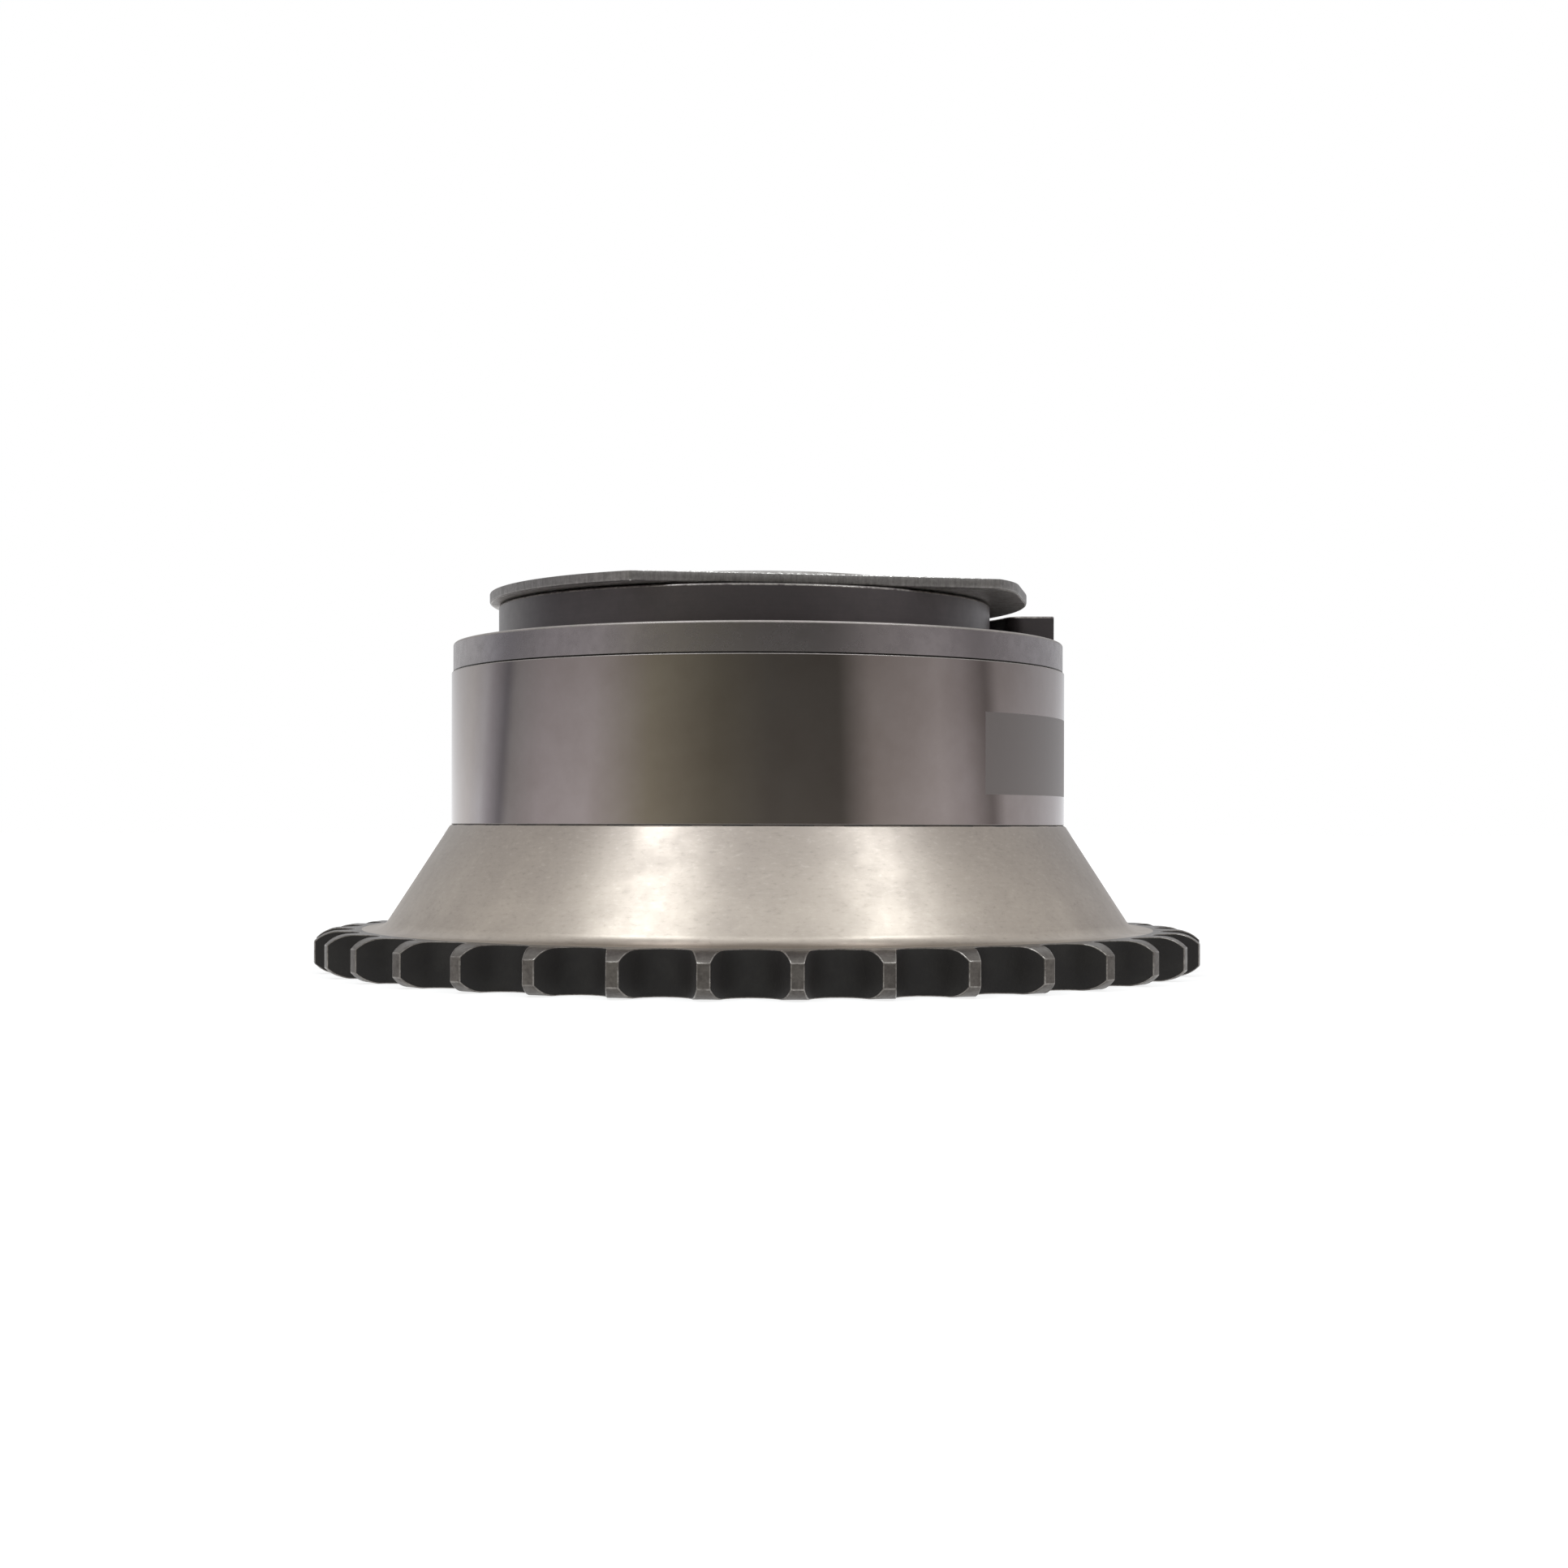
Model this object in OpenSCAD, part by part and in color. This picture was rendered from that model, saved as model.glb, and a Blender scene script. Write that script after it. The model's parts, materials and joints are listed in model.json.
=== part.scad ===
// Vane-type cam phaser with a chain sprocket.
// Origin at the centre of the sprocket's lower face, +Z towards the bias spring and its plate.

/* [Chain sprocket] */
// Number of teeth
teeth_n = 36; // [34:1:40]
// Chain pitch
chain_pitch = 9.525; // [9:0.005:10]
// Radius of the roller seat in each tooth gap
roller_seat_r = 3.25; // [3:0.05:3.5]
// Flank angle of the teeth from the radial direction
flank_deg = 22; // [18:1:24]
// Height of the tooth tips above the pitch circle
tip_rise = 1.86; // [1.5:0.02:2.2]
// Thickness of the toothed ring
disc_t = 5.25; // [4:0.05:7]
// Depth of the rounded bevel on both sides of the teeth, along the axis
tooth_bevel_h = 1.25; // [0.8:0.05:1.5]
// Length of that bevel along the radius
tooth_bevel_r = 3; // [2:0.1:4]
// Turn of the first tooth from +X
tooth_phase = 4.28; // [0:0.01:10]

/* [Cone and web] */
// Height of the cone above the toothed ring
cone_h = 13.2; // [11:0.1:16]
// Flat ring between the tooth gaps and the cone
ring_land = 3.4; // [2.5:0.1:4]
// Step of the cone's upper edge beyond the body
cone_step = 0.1; // [0.05:0.05:1]
// Fillet between the cone and the toothed ring
cone_fillet_r = 2.5; // [1:0.1:3]
// Thickness of the closing web
web_t = 8.5; // [7:0.1:10]
// Wall between the cone's foot and the hollow below it
rim_wall = 6; // [4:0.1:7]
// Room around the screw heads in the hollow
head_room = 2.75; // [1:0.05:3]

/* [Body] */
// Outer radius of the body
stator_r = 39.4; // [38.5:0.1:41]
// Height of the body
stator_h = 19.3; // [17:0.1:24]
// Radius of the oil chambers
chamber_r = 33; // [32:0.1:34]
// Small bevel on the outer edges
edge_bevel = 0.3; // [0.1:0.05:0.5]
// Radius of the dowel between web and body
stator_dowel_r = 1.5; // [1:0.1:2]
// Distance of that dowel from the axis
stator_dowel_orbit = 26.5; // [25.5:0.1:27.5]
// Length of that dowel
stator_dowel_l = 7.5; // [5:0.1:9]

/* [Rotor] */
// Radius of the hub
hub_r = 19.5; // [19.2:0.1:20.2]
// Width of a vane as an angle
vane_deg = 26.5; // [25:0.5:28]
// Travel of the rotor
travel_deg = 25; // [23:0.5:27]
// Radius of the rear journal
journal_r = 18; // [17.5:0.1:18.5]
// Radius of the pilot that takes the camshaft's nose
pilot_r = 12.5; // [12:0.1:13.5]
// Depth of that pilot
pilot_l = 8; // [6:0.1:8.4]
// Radius of the bore for the centre bolt
bolt_r = 6.5; // [6:0.1:7]
// Radius of the recess for the centre bolt's head
head_recess_r = 11.6; // [10:0.1:12]
// Depth of the bolt's seat below the rotor's front face
seat_depth = 4; // [3:0.1:4.5]
// Radius of the front boss
boss_r = 15.5; // [15:0.1:16]
// Wall of the staked lip that holds the plate
lip_wall = 2; // [1.5:0.1:2.4]
// Radius of the oil holes
oil_r = 1.5; // [1:0.1:1.8]
// Distance of the two rows of oil holes from the rotor's middle
oil_row = 3; // [2:0.1:3.5]
// Radius of the dowel that times the camshaft
cam_dowel_r = 1.75; // [1.5:0.05:2]
// Reach of that dowel out of the rotor's rear face
cam_dowel_reach = 3.5; // [3:0.1:6]
// Radius of that dowel's thicker shank, pressed into the rotor
cam_dowel_shank_r = 2.05; // [1.8:0.05:2.2]
// Depth of that dowel's hole in the rotor
cam_dowel_seat = 5; // [3:0.1:6]

/* [Seals] */
// Width of the seal slots
seal_slot_w = 2; // [1.6:0.1:2.4]
// Depth of the seal slots
seal_slot_d = 3.6; // [3.2:0.1:4]
// Height of a seal strip along the radius
seal_h = 2.4; // [2:0.1:2.6]
// Thickness of the leaf springs
leaf_t = 0.25; // [0.2:0.05:0.3]
// Length of the leaf springs
leaf_l = 14; // [12:0.5:16]

/* [Lock] */
// Radius of the lock pin
lock_r = 3.2; // [2.8:0.1:3.4]
// Length of the lock pin
lock_pin_l = 10; // [8:0.1:11]
// Travel of the lock pin into the web
lock_travel = 3; // [2:0.1:3.5]
// Wall of the pin around its spring
lock_wall = 0.9; // [0.7:0.1:1.1]
// Floor of the pin below its spring
lock_floor = 3; // [2:0.1:4]
// Thickness of the cap over the lock spring
lock_cap_t = 2.9; // [2:0.1:4]
// Radius of the vent in the cap and under the bushes
lock_vent_r = 0.9; // [0.6:0.1:1.2]
// Wall of the lock bushes
lock_bush_wall = 1.4; // [1:0.1:1.6]
// Spare depth of the lock bushes under the extended pin
lock_bush_spare = 1; // [0.6:0.1:2]
// Wire radius of the lock spring
lock_wire_r = 0.35; // [0.25:0.05:0.4]
// Turns of the lock spring
lock_turns = 8; // [6:1:9]

/* [Screws] */
// Distance of the housing screws from the axis
screw_orbit = 31; // [30.5:0.1:31.5]
// Nominal radius of a housing screw
screw_r = 2.5; // [2.2:0.1:2.6]
// Radius of its threaded end, at the thread's core
screw_core_r = 2.1; // [1.8:0.1:2.2]
// Radius of its head
screw_head_r = 4.25; // [3.8:0.05:4.4]
// Height of its head
screw_head_h = 3.5; // [2.5:0.1:4]
// Width across the flats of its socket
screw_key_w = 3; // [2:0.5:4]
// Depth of its socket
screw_key_d = 2; // [1:0.1:2.2]

/* [Front cover] */
// Step of the cover's edge behind the body
cover_step = 0.2; // [0.1:0.05:0.6]
// Thickness of the cover
cover_t = 3.7; // [3:0.1:5]
// Radius of the spring post
post_r = 1.1; // [0.9:0.05:1.2]
// Depth of the spring post in the cover
post_seat = 2.7; // [2:0.1:2.9]

/* [Bias spring] */
// Width of the spring strip, along the axis
strip_w = 4.8; // [4:0.1:6]
// Thickness of the spring strip
strip_t = 1.6; // [1.4:0.1:1.8]
// Distance of the coil's outermost turn from the cover's edge
coil_inset = 3.03; // [2.9:0.01:3.5]
// Place of the leg around the axis
leg_deg = 17; // [0:1:40]
// Length of the leg's straight stretch
leg_l = 4; // [3:0.1:5]
// Approach of the coil to the axis in its first turn
coil_pitch = 6.81; // [6.6:0.01:7]
// Growth of that approach from turn to turn
coil_ease = 1.2; // [1.15:0.01:1.25]
// Bend radius of the strip's two ends, at its middle
strip_bend_r = 1.8; // [1.5:0.1:2]
// Wall of the arbor that takes the inner end
arbor_wall = 2.5; // [2.2:0.1:3]

/* [Retainer plate] */
// Radius of the plate
plate_r = 34.6; // [33:0.1:36]
// Thickness of the plate's sheet
plate_t = 1.25; // [1:0.05:1.5]
// Distance of the straight side from the axis
plate_flat = 28; // [25:0.1:29]
// Turn of the straight side from the front, towards +X
plate_turn = 10.5; // [0:0.5:20]
// Radius of the horn at the right end of the straight side
horn_r = 14; // [10:0.5:18]
// Reach of the horn beyond the plate's round
horn_reach = 2.4; // [1:0.1:3]
// Place of the horn around the axis
horn_deg = -38; // [-42:0.5:-30]
// Outer radius of the raised centre, at its top
raise_r = 22.6; // [21.5:0.1:23]
// Rise of the centre above the plate
raise_h = 1; // [0.8:0.05:1.3]

/* [Clearances] */
// Radial running clearance of the rotor's journals and of the lock pin
run_gap = 0.05; // [0.02:0.01:0.08]
// Clearance of the rotor's faces to web and cover
axial_gap = 0.04; // [0.03:0.01:0.08]
// Gap between hub or vane and the body, bridged by the seals
seal_gap = 0.1; // [0.08:0.01:0.15]
// Gap at the vane's stops, as an angle
stop_deg = 0.4; // [0.3:0.1:0.6]
// Gap of a piece that is pressed or staked in
press_gap = 0.01; // [0.01:0.01:0.03]
// Gap of pieces that lie loose in a slot or bear on a neighbour
seat_gap = 0.05; // [0.03:0.01:0.08]
// Gap of the spring strip to cover, plate and arbor slot
strip_gap = 0.2; // [0.15:0.05:0.5]
// Radial gap of the screws in web and body
screw_gap = 0.15; // [0.1:0.05:0.3]

/* [Hidden] */
$fn = 96;
// Spare length that takes a cut past a face
eps = 0.5;
// Number of vanes and of lobes; the list of nodes depends on it
vane_n = 4;
chamber_step = 360 / vane_n;
lobe_deg = chamber_step - vane_deg - travel_deg - 2 * stop_deg;

pitch_r = chain_pitch / (2 * sin(180 / teeth_n));
tip_r = pitch_r + tip_rise;
cone_base_r = pitch_r - roller_seat_r - ring_land;
cone_top_r = stator_r + cone_step;
cone_top_z = disc_t + cone_h;
web_z = cone_top_z - web_t;
hollow_r = cone_base_r - rim_wall;
hollow_top_r = screw_orbit + screw_head_r + head_room;
stator_top_z = cone_top_z + stator_h;
cover_r = stator_r - cover_step;
cover_top_z = stator_top_z + cover_t;
strip_z = cover_top_z + strip_gap;
plate_z = strip_z + strip_w + strip_gap;
raise_z = plate_z + raise_h;
lip_r = head_recess_r + lip_wall;
lip_z = raise_z + plate_t - strip_gap;

rotor_z = cone_top_z + axial_gap;
rotor_h = stator_h - 2 * axial_gap;
rotor_top_z = rotor_z + rotor_h;
vane_r = chamber_r - seal_gap;
lobe_r = hub_r + seal_gap;
bolt_seat_z = rotor_top_z - seat_depth;
// The dowel stands in the middle of the journal's rear face, towards +Y
cam_dowel_orbit = (pilot_r + journal_r) / 2;
cam_dowel_deg = 90;

// The lock pin stands midway between the hub and the floor of the vane's seal slot
lock_orbit = (hub_r + vane_r - seal_slot_d) / 2;
lock_z = rotor_z + 3 * seat_gap;
lock_cap_z = rotor_top_z - seat_gap - lock_cap_t;
lock_spring_z = lock_z + lock_floor + seat_gap;
lock_spring_l = lock_cap_z - seat_gap - lock_spring_z;
lock_coil_r = lock_r - lock_wall - lock_wire_r - 2 * seat_gap;
lock_bush_r = lock_r + 2 * run_gap;
lock_bush_l = lock_travel + lock_bush_spare;

coil_r = cover_r - coil_inset;
leg_y = (coil_r - strip_t / 2) * sin(leg_deg) - strip_bend_r * (1 - sin(leg_deg));
post_y = leg_y + strip_t / 2 + post_r + seat_gap;
post_orbit = coil_r + post_r + 2 * seat_gap;
post_x = sqrt(pow(post_orbit, 2) - pow(post_y, 2));
arbor_r = boss_r + arbor_wall;
coil_end_r = arbor_r + strip_t + 3 * strip_gap;
coil_turns = pow((coil_r - coil_end_r) / coil_pitch, 1 / coil_ease);
coil_end_deg = leg_deg + 360 * coil_turns;
strip_end_r = coil_end_r - strip_t / 2;
hook_r = boss_r + 2 * strip_gap;

function polar(r, a) = [r * cos(a), r * sin(a)];
function lobe_at(i) = (i - 1) * chamber_step;
function vane_at(i) = lobe_at(i) + lobe_deg / 2 + stop_deg + vane_deg / 2;

// A cylinder standing at height z, at a place given by orbit and angle
module post_at(orbit, a, z, r, h) {
    translate([orbit * cos(a), orbit * sin(a), z]) cylinder(r = r, h = h);
}

// A turned disc from height z with small bevels on both edges
module turned_disc(r, z, h) {
    translate([0, 0, z])
        rotate_extrude()
            polygon([
                [0, 0], [r - edge_bevel, 0], [r, edge_bevel],
                [r, h - edge_bevel], [r - edge_bevel, h], [0, h]
            ]);
}

// A ring sector, centred on +X
module sector(inner_r, outer_r, deg, z, h) {
    far = 2 * outer_r;
    translate([0, 0, z])
        intersection() {
            difference() {
                cylinder(r = outer_r, h = h);
                translate([0, 0, -eps]) cylinder(r = inner_r, h = h + 2 * eps);
            }
            linear_extrude(h) polygon([[0, 0], polar(far, -deg / 2), polar(far, deg / 2)]);
        }
}

// One tooth gap on +X: the roller seat and the open flanks beyond it
module tooth_gap() {
    seat = [pitch_r - roller_seat_r * sin(flank_deg), roller_seat_r * cos(flank_deg)];
    open = 2 * tip_rise + roller_seat_r * sin(flank_deg);
    mouth = [seat[0] + open, seat[1] + open * tan(flank_deg)];
    translate([0, 0, -eps]) {
        translate([pitch_r, 0, 0]) cylinder(r = roller_seat_r, h = disc_t + 2 * eps);
        linear_extrude(disc_t + 2 * eps)
            polygon([seat, mouth, [mouth[0], -mouth[1]], [seat[0], -seat[1]]]);
    }
}

// What the rounded bevel takes off the lower corner of the teeth
module tooth_corner() {
    bevel_r = (pow(tooth_bevel_r, 2) + pow(tooth_bevel_h, 2)) / (2 * tooth_bevel_h);
    difference() {
        translate([tip_r - tooth_bevel_r, -eps]) square([tooth_bevel_r + eps, tooth_bevel_h + eps]);
        translate([tip_r - tooth_bevel_r, bevel_r]) circle(r = bevel_r);
    }
}

// The toothed ring with its bevelled teeth
module toothed_ring() {
    difference() {
        rotate_extrude()
            difference() {
                square([tip_r, disc_t]);
                tooth_corner();
                translate([0, disc_t]) mirror([0, 1]) tooth_corner();
            }
        for (i = [0 : teeth_n - 1])
            rotate(tooth_phase + (i + 0.5) * 360 / teeth_n) tooth_gap();
    }
}

// The cone's outline, with the fillet at its foot
module cone_profile() {
    run = cone_base_r - cone_top_r;
    slope_deg = atan2(cone_h, -run);
    fillet_in = cone_fillet_r / tan(slope_deg / 2);
    foot = [cone_base_r, disc_t];
    centre = foot + [fillet_in, cone_fillet_r];
    polygon([
        [0, disc_t - eps], [cone_base_r, disc_t - eps], foot,
        [cone_top_r + run * edge_bevel / cone_h, cone_top_z - edge_bevel],
        [cone_top_r - edge_bevel, cone_top_z], [0, cone_top_z]
    ]);
    difference() {
        polygon([
            foot + [-edge_bevel, -eps], foot + [fillet_in, -eps], foot + [fillet_in, 0],
            centre, foot + polar(fillet_in, slope_deg), foot + [-edge_bevel, 0]
        ]);
        translate(centre) circle(r = cone_fillet_r);
    }
}

module sprocket() {
    color("#8f8b87")
        difference() {
            union() {
                toothed_ring();
                rotate_extrude() cone_profile();
            }
            translate([0, 0, -eps])
                cylinder(r1 = hollow_r, r2 = hollow_top_r, h = web_z + eps);
            cylinder(r = journal_r + run_gap, h = cone_top_z + eps);
            for (i = [1 : vane_n])
                post_at(screw_orbit, lobe_at(i), web_z - eps, screw_r + screw_gap, web_t + 2 * eps);
            for (a = [vane_at(1), vane_at(1) + travel_deg]) {
                post_at(lock_orbit, a, cone_top_z - lock_bush_l,
                        lock_bush_r + lock_bush_wall + press_gap, lock_bush_l + eps);
                post_at(lock_orbit, a, web_z - eps, lock_vent_r, web_t);
            }
            stator_dowel_cut();
        }
}

// The dowel's hole, half in the web and half in the body's lobe opposite +X
module stator_dowel_cut() {
    post_at(stator_dowel_orbit, lobe_at(3) + lobe_deg / 4, cone_top_z - stator_dowel_l / 2 - seat_gap,
            stator_dowel_r + press_gap, stator_dowel_l + 2 * seat_gap);
}

module stator() {
    color("#7d7876")
        difference() {
            turned_disc(stator_r, cone_top_z, stator_h);
            translate([0, 0, cone_top_z - eps]) cylinder(r = lobe_r, h = stator_h + 2 * eps);
            for (i = [1 : vane_n]) {
                rotate(lobe_at(i) + chamber_step / 2)
                    sector(lobe_r - eps, chamber_r, chamber_step - lobe_deg, cone_top_z - eps,
                           stator_h + 2 * eps);
                rotate(lobe_at(i))
                    translate([lobe_r - eps, -seal_slot_w / 2, cone_top_z - eps])
                        cube([seal_slot_d + eps, seal_slot_w, stator_h + 2 * eps]);
                post_at(screw_orbit, lobe_at(i), cone_top_z - eps, screw_r + screw_gap,
                        stator_h + 2 * eps);
            }
            stator_dowel_cut();
        }
}

// Oil holes from the bolt bore to both sides of a vane
module oil_holes() {
    beside = vane_deg / 2 + asin((oil_r + seal_gap) / hub_r);
    for (i = [1 : vane_n], side = [-1, 1])
        rotate(vane_at(i) + side * beside)
            translate([0, 0, rotor_z + rotor_h / 2 - side * oil_row])
                rotate([0, 90, 0]) cylinder(r = oil_r, h = hub_r + eps);
}

module rotor() {
    color("#86827f")
        difference() {
            union() {
                translate([0, 0, rotor_z]) cylinder(r = hub_r, h = rotor_h);
                translate([0, 0, web_z]) cylinder(r = journal_r, h = rotor_z - web_z + eps);
                translate([0, 0, rotor_z]) cylinder(r = boss_r, h = raise_z - rotor_z);
                translate([0, 0, rotor_z]) cylinder(r = lip_r, h = lip_z - rotor_z);
                for (i = [1 : vane_n])
                    rotate(vane_at(i)) sector(hub_r - eps, vane_r, vane_deg, rotor_z, rotor_h);
            }
            translate([0, 0, web_z - eps]) cylinder(r = pilot_r, h = pilot_l + eps);
            translate([0, 0, web_z]) cylinder(r = bolt_r, h = raise_z - web_z);
            translate([0, 0, bolt_seat_z]) cylinder(r = head_recess_r, h = lip_z - bolt_seat_z + eps);
            for (i = [1 : vane_n])
                rotate(vane_at(i))
                    translate([vane_r - seal_slot_d, -seal_slot_w / 2, rotor_z - eps])
                        cube([seal_slot_d + eps, seal_slot_w, rotor_h + 2 * eps]);
            oil_holes();
            post_at(lock_orbit, vane_at(1), rotor_z - eps, lock_r + run_gap, rotor_h + 2 * eps);
            post_at(cam_dowel_orbit, cam_dowel_deg, web_z - eps, cam_dowel_shank_r + press_gap,
                    cam_dowel_seat + eps);
        }
}

module front_cover() {
    color("#6f6b69")
        difference() {
            turned_disc(cover_r, stator_top_z, cover_t);
            translate([0, 0, stator_top_z - eps]) cylinder(r = boss_r + run_gap, h = cover_t + 2 * eps);
            for (i = [1 : vane_n])
                post_at(screw_orbit, lobe_at(i), stator_top_z - eps, screw_core_r + press_gap,
                        cover_t + 2 * eps);
            translate([post_x, post_y, cover_top_z - post_seat])
                cylinder(r = post_r + press_gap, h = post_seat + eps);
        }
}

module housing_screw() {
    difference() {
        union() {
            translate([0, 0, web_z - screw_head_h]) cylinder(r = screw_head_r, h = screw_head_h);
            translate([0, 0, web_z - eps]) cylinder(r = screw_r, h = web_t + stator_h + eps);
            translate([0, 0, stator_top_z - eps]) cylinder(r = screw_core_r, h = cover_t + eps - strip_gap);
        }
        translate([0, 0, web_z - screw_head_h - eps])
            cylinder(d = screw_key_w / cos(30), h = screw_key_d + eps, $fn = 6);
    }
}

module housing_screws() {
    color("#4b4a4c")
        for (i = [1 : vane_n])
            translate([screw_orbit * cos(lobe_at(i)), screw_orbit * sin(lobe_at(i)), 0]) housing_screw();
}

// A seal strip on +X, between two heights and two radii
module seal_strip(z, h, inner_r) {
    w = seal_slot_w - 2 * seat_gap;
    translate([inner_r, -w / 2, z + seat_gap]) cube([seal_h, w, h - 2 * seat_gap]);
}

// A bowed leaf spring on +X: its middle bears at bear_r, its ends reach rise further out
module leaf(bear_r, rise, mid_z) {
    w = seal_slot_w - 4 * seat_gap;
    bow_r = (pow(leaf_l / 2, 2) + pow(rise, 2)) / (2 * rise);
    intersection() {
        translate([bear_r + bow_r, w / 2, mid_z])
            rotate([90, 0, 0])
                difference() {
                    cylinder(r = bow_r, h = w);
                    translate([0, 0, -eps]) cylinder(r = bow_r - leaf_t, h = w + 2 * eps);
                }
        translate([bear_r - eps, -w, mid_z - leaf_l / 2]) cube([rise + eps, 2 * w, leaf_l]);
    }
}

module vane_seal(i) {
    color("#3a3633")
        intersection() {
            rotate(vane_at(i))
                seal_strip(rotor_z, rotor_h, chamber_r - seal_h - seal_gap / 4);
            translate([0, 0, rotor_z]) cylinder(r = chamber_r - seal_gap / 3, h = rotor_h);
        }
}

module vane_seal_spring(i) {
    floor_r = vane_r - seal_slot_d + seat_gap;
    color("#b8b6b2")
        rotate(vane_at(i))
            leaf(floor_r, chamber_r - seal_h - seal_gap / 4 - seat_gap - floor_r, rotor_z + rotor_h / 2);
}

module lobe_seal(i) {
    color("#3a3633")
        difference() {
            rotate(lobe_at(i)) seal_strip(cone_top_z, stator_h, hub_r + seal_gap / 4);
            translate([0, 0, cone_top_z]) cylinder(r = hub_r + seal_gap / 3, h = stator_h);
        }
}

module lobe_seal_spring(i) {
    floor_r = lobe_r + seal_slot_d - seat_gap;
    color("#b8b6b2")
        rotate(lobe_at(i))
            mirror([1, 0, 0])
                leaf(-floor_r, floor_r - hub_r - seal_gap / 4 - seal_h - seat_gap, cone_top_z + stator_h / 2);
}

module lock_pin() {
    color("#a3a09c")
        difference() {
            post_at(lock_orbit, vane_at(1), lock_z, lock_r, lock_pin_l);
            post_at(lock_orbit, vane_at(1), lock_z + lock_floor, lock_r - lock_wall, lock_pin_l);
        }
}

// The coil spring of the lock pin: a round wire swept along a helix
module lock_spring() {
    sides = 8;
    steps = 20;
    rings = lock_turns * steps;
    rise = lock_spring_l - 2 * lock_wire_r;
    points = [
        for (k = [0 : rings], s = [0 : sides - 1])
            let (a = 360 * k / steps, b = 360 * s / sides)
                [
                    (lock_coil_r + lock_wire_r * cos(b)) * cos(a),
                    (lock_coil_r + lock_wire_r * cos(b)) * sin(a),
                    lock_wire_r + rise * k / rings + lock_wire_r * sin(b)
                ]
    ];
    walls = [
        for (k = [0 : rings - 1], s = [0 : sides - 1])
            let (n = (s + 1) % sides)
                [k * sides + s, k * sides + n, (k + 1) * sides + n, (k + 1) * sides + s]
    ];
    first = [for (s = [0 : sides - 1]) sides - 1 - s];
    last = [for (s = [0 : sides - 1]) rings * sides + s];
    color("#b8b6b2")
        translate([lock_orbit * cos(vane_at(1)), lock_orbit * sin(vane_at(1)), lock_spring_z])
            polyhedron(points, concat(walls, [first, last]));
}

module lock_cap() {
    color("#9b9792")
        difference() {
            post_at(lock_orbit, vane_at(1), lock_cap_z, lock_r + run_gap - press_gap, lock_cap_t);
            post_at(lock_orbit, vane_at(1), lock_cap_z - eps, lock_vent_r, lock_cap_t + 2 * eps);
        }
}

// A lock bush at one end of the rotor's travel
module lock_bush(a) {
    color("#a9a59f")
        difference() {
            post_at(lock_orbit, a, cone_top_z - lock_bush_l, lock_bush_r + lock_bush_wall,
                    lock_bush_l - seat_gap);
            post_at(lock_orbit, a, cone_top_z - lock_bush_l - eps, lock_bush_r, lock_bush_l + 2 * eps);
        }
}

module cam_dowel() {
    shoulder_z = web_z - press_gap;
    color("#a3a09c") {
        post_at(cam_dowel_orbit, cam_dowel_deg, shoulder_z - cam_dowel_reach, cam_dowel_r,
                cam_dowel_reach + eps);
        post_at(cam_dowel_orbit, cam_dowel_deg, shoulder_z, cam_dowel_shank_r, cam_dowel_seat - seat_gap);
    }
}

module stator_dowel() {
    color("#a3a09c")
        post_at(stator_dowel_orbit, lobe_at(3) + lobe_deg / 4, cone_top_z - stator_dowel_l / 2,
                stator_dowel_r, stator_dowel_l);
}

// Middle line of the spring strip: outward leg, bend, coil, bend, hook in the arbor
function strip_path() =
    let (
        coil_steps = round(72 * coil_turns),
        bend_steps = 8,
        start = polar(coil_r - strip_t / 2, leg_deg),
        leg_c = start + polar(strip_bend_r, leg_deg),
        end_c = polar(strip_end_r - strip_bend_r, coil_end_deg),
        hook_in = polar(hook_r, coil_end_deg) + polar(strip_bend_r, coil_end_deg + 90)
    )
    concat(
        [leg_c + [leg_l, -strip_bend_r]],
        [for (k = [0 : bend_steps - 1])
            leg_c + polar(strip_bend_r, 270 - (90 - leg_deg) * k / bend_steps)],
        [for (k = [0 : coil_steps - 1])
            let (u = coil_turns * k / coil_steps)
                polar(coil_r - strip_t / 2 - coil_pitch * pow(u, coil_ease), leg_deg + 360 * u)],
        [for (k = [0 : bend_steps]) end_c + polar(strip_bend_r, coil_end_deg + 90 * k / bend_steps)],
        [hook_in]
    );

// One side of a strip along a path, at a distance to the left of it
function path_side(path, d) = [
    for (k = [0 : len(path) - 1])
        let (
            ahead = path[min(k + 1, len(path) - 1)] - path[max(k - 1, 0)],
            along = ahead / norm(ahead)
        )
        path[k] + d * [-along[1], along[0]]
];

module bias_spring() {
    path = strip_path();
    right = path_side(path, -strip_t / 2);
    left = path_side(path, strip_t / 2);
    color("#3b3637")
        translate([0, 0, strip_z])
            linear_extrude(strip_w)
                polygon(concat(right, [for (k = [len(left) - 1 : -1 : 0]) left[k]]));
}

module spring_post() {
    color("#8c8884")
        translate([post_x, post_y, cover_top_z - post_seat])
            cylinder(r = post_r, h = post_seat + strip_w);
}

module spring_arbor() {
    slot_w = strip_t + 2 * strip_gap;
    h = raise_z - strip_z;
    color("#77736f")
        difference() {
            translate([0, 0, strip_z]) cylinder(r = arbor_r, h = h);
            translate([0, 0, strip_z - eps]) cylinder(r = boss_r + press_gap, h = h + 2 * eps);
            rotate(coil_end_deg)
                translate([0, strip_bend_r - slot_w / 2, strip_z - eps])
                    cube([arbor_r + eps, slot_w, strip_w + strip_gap + eps]);
        }
}

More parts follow.
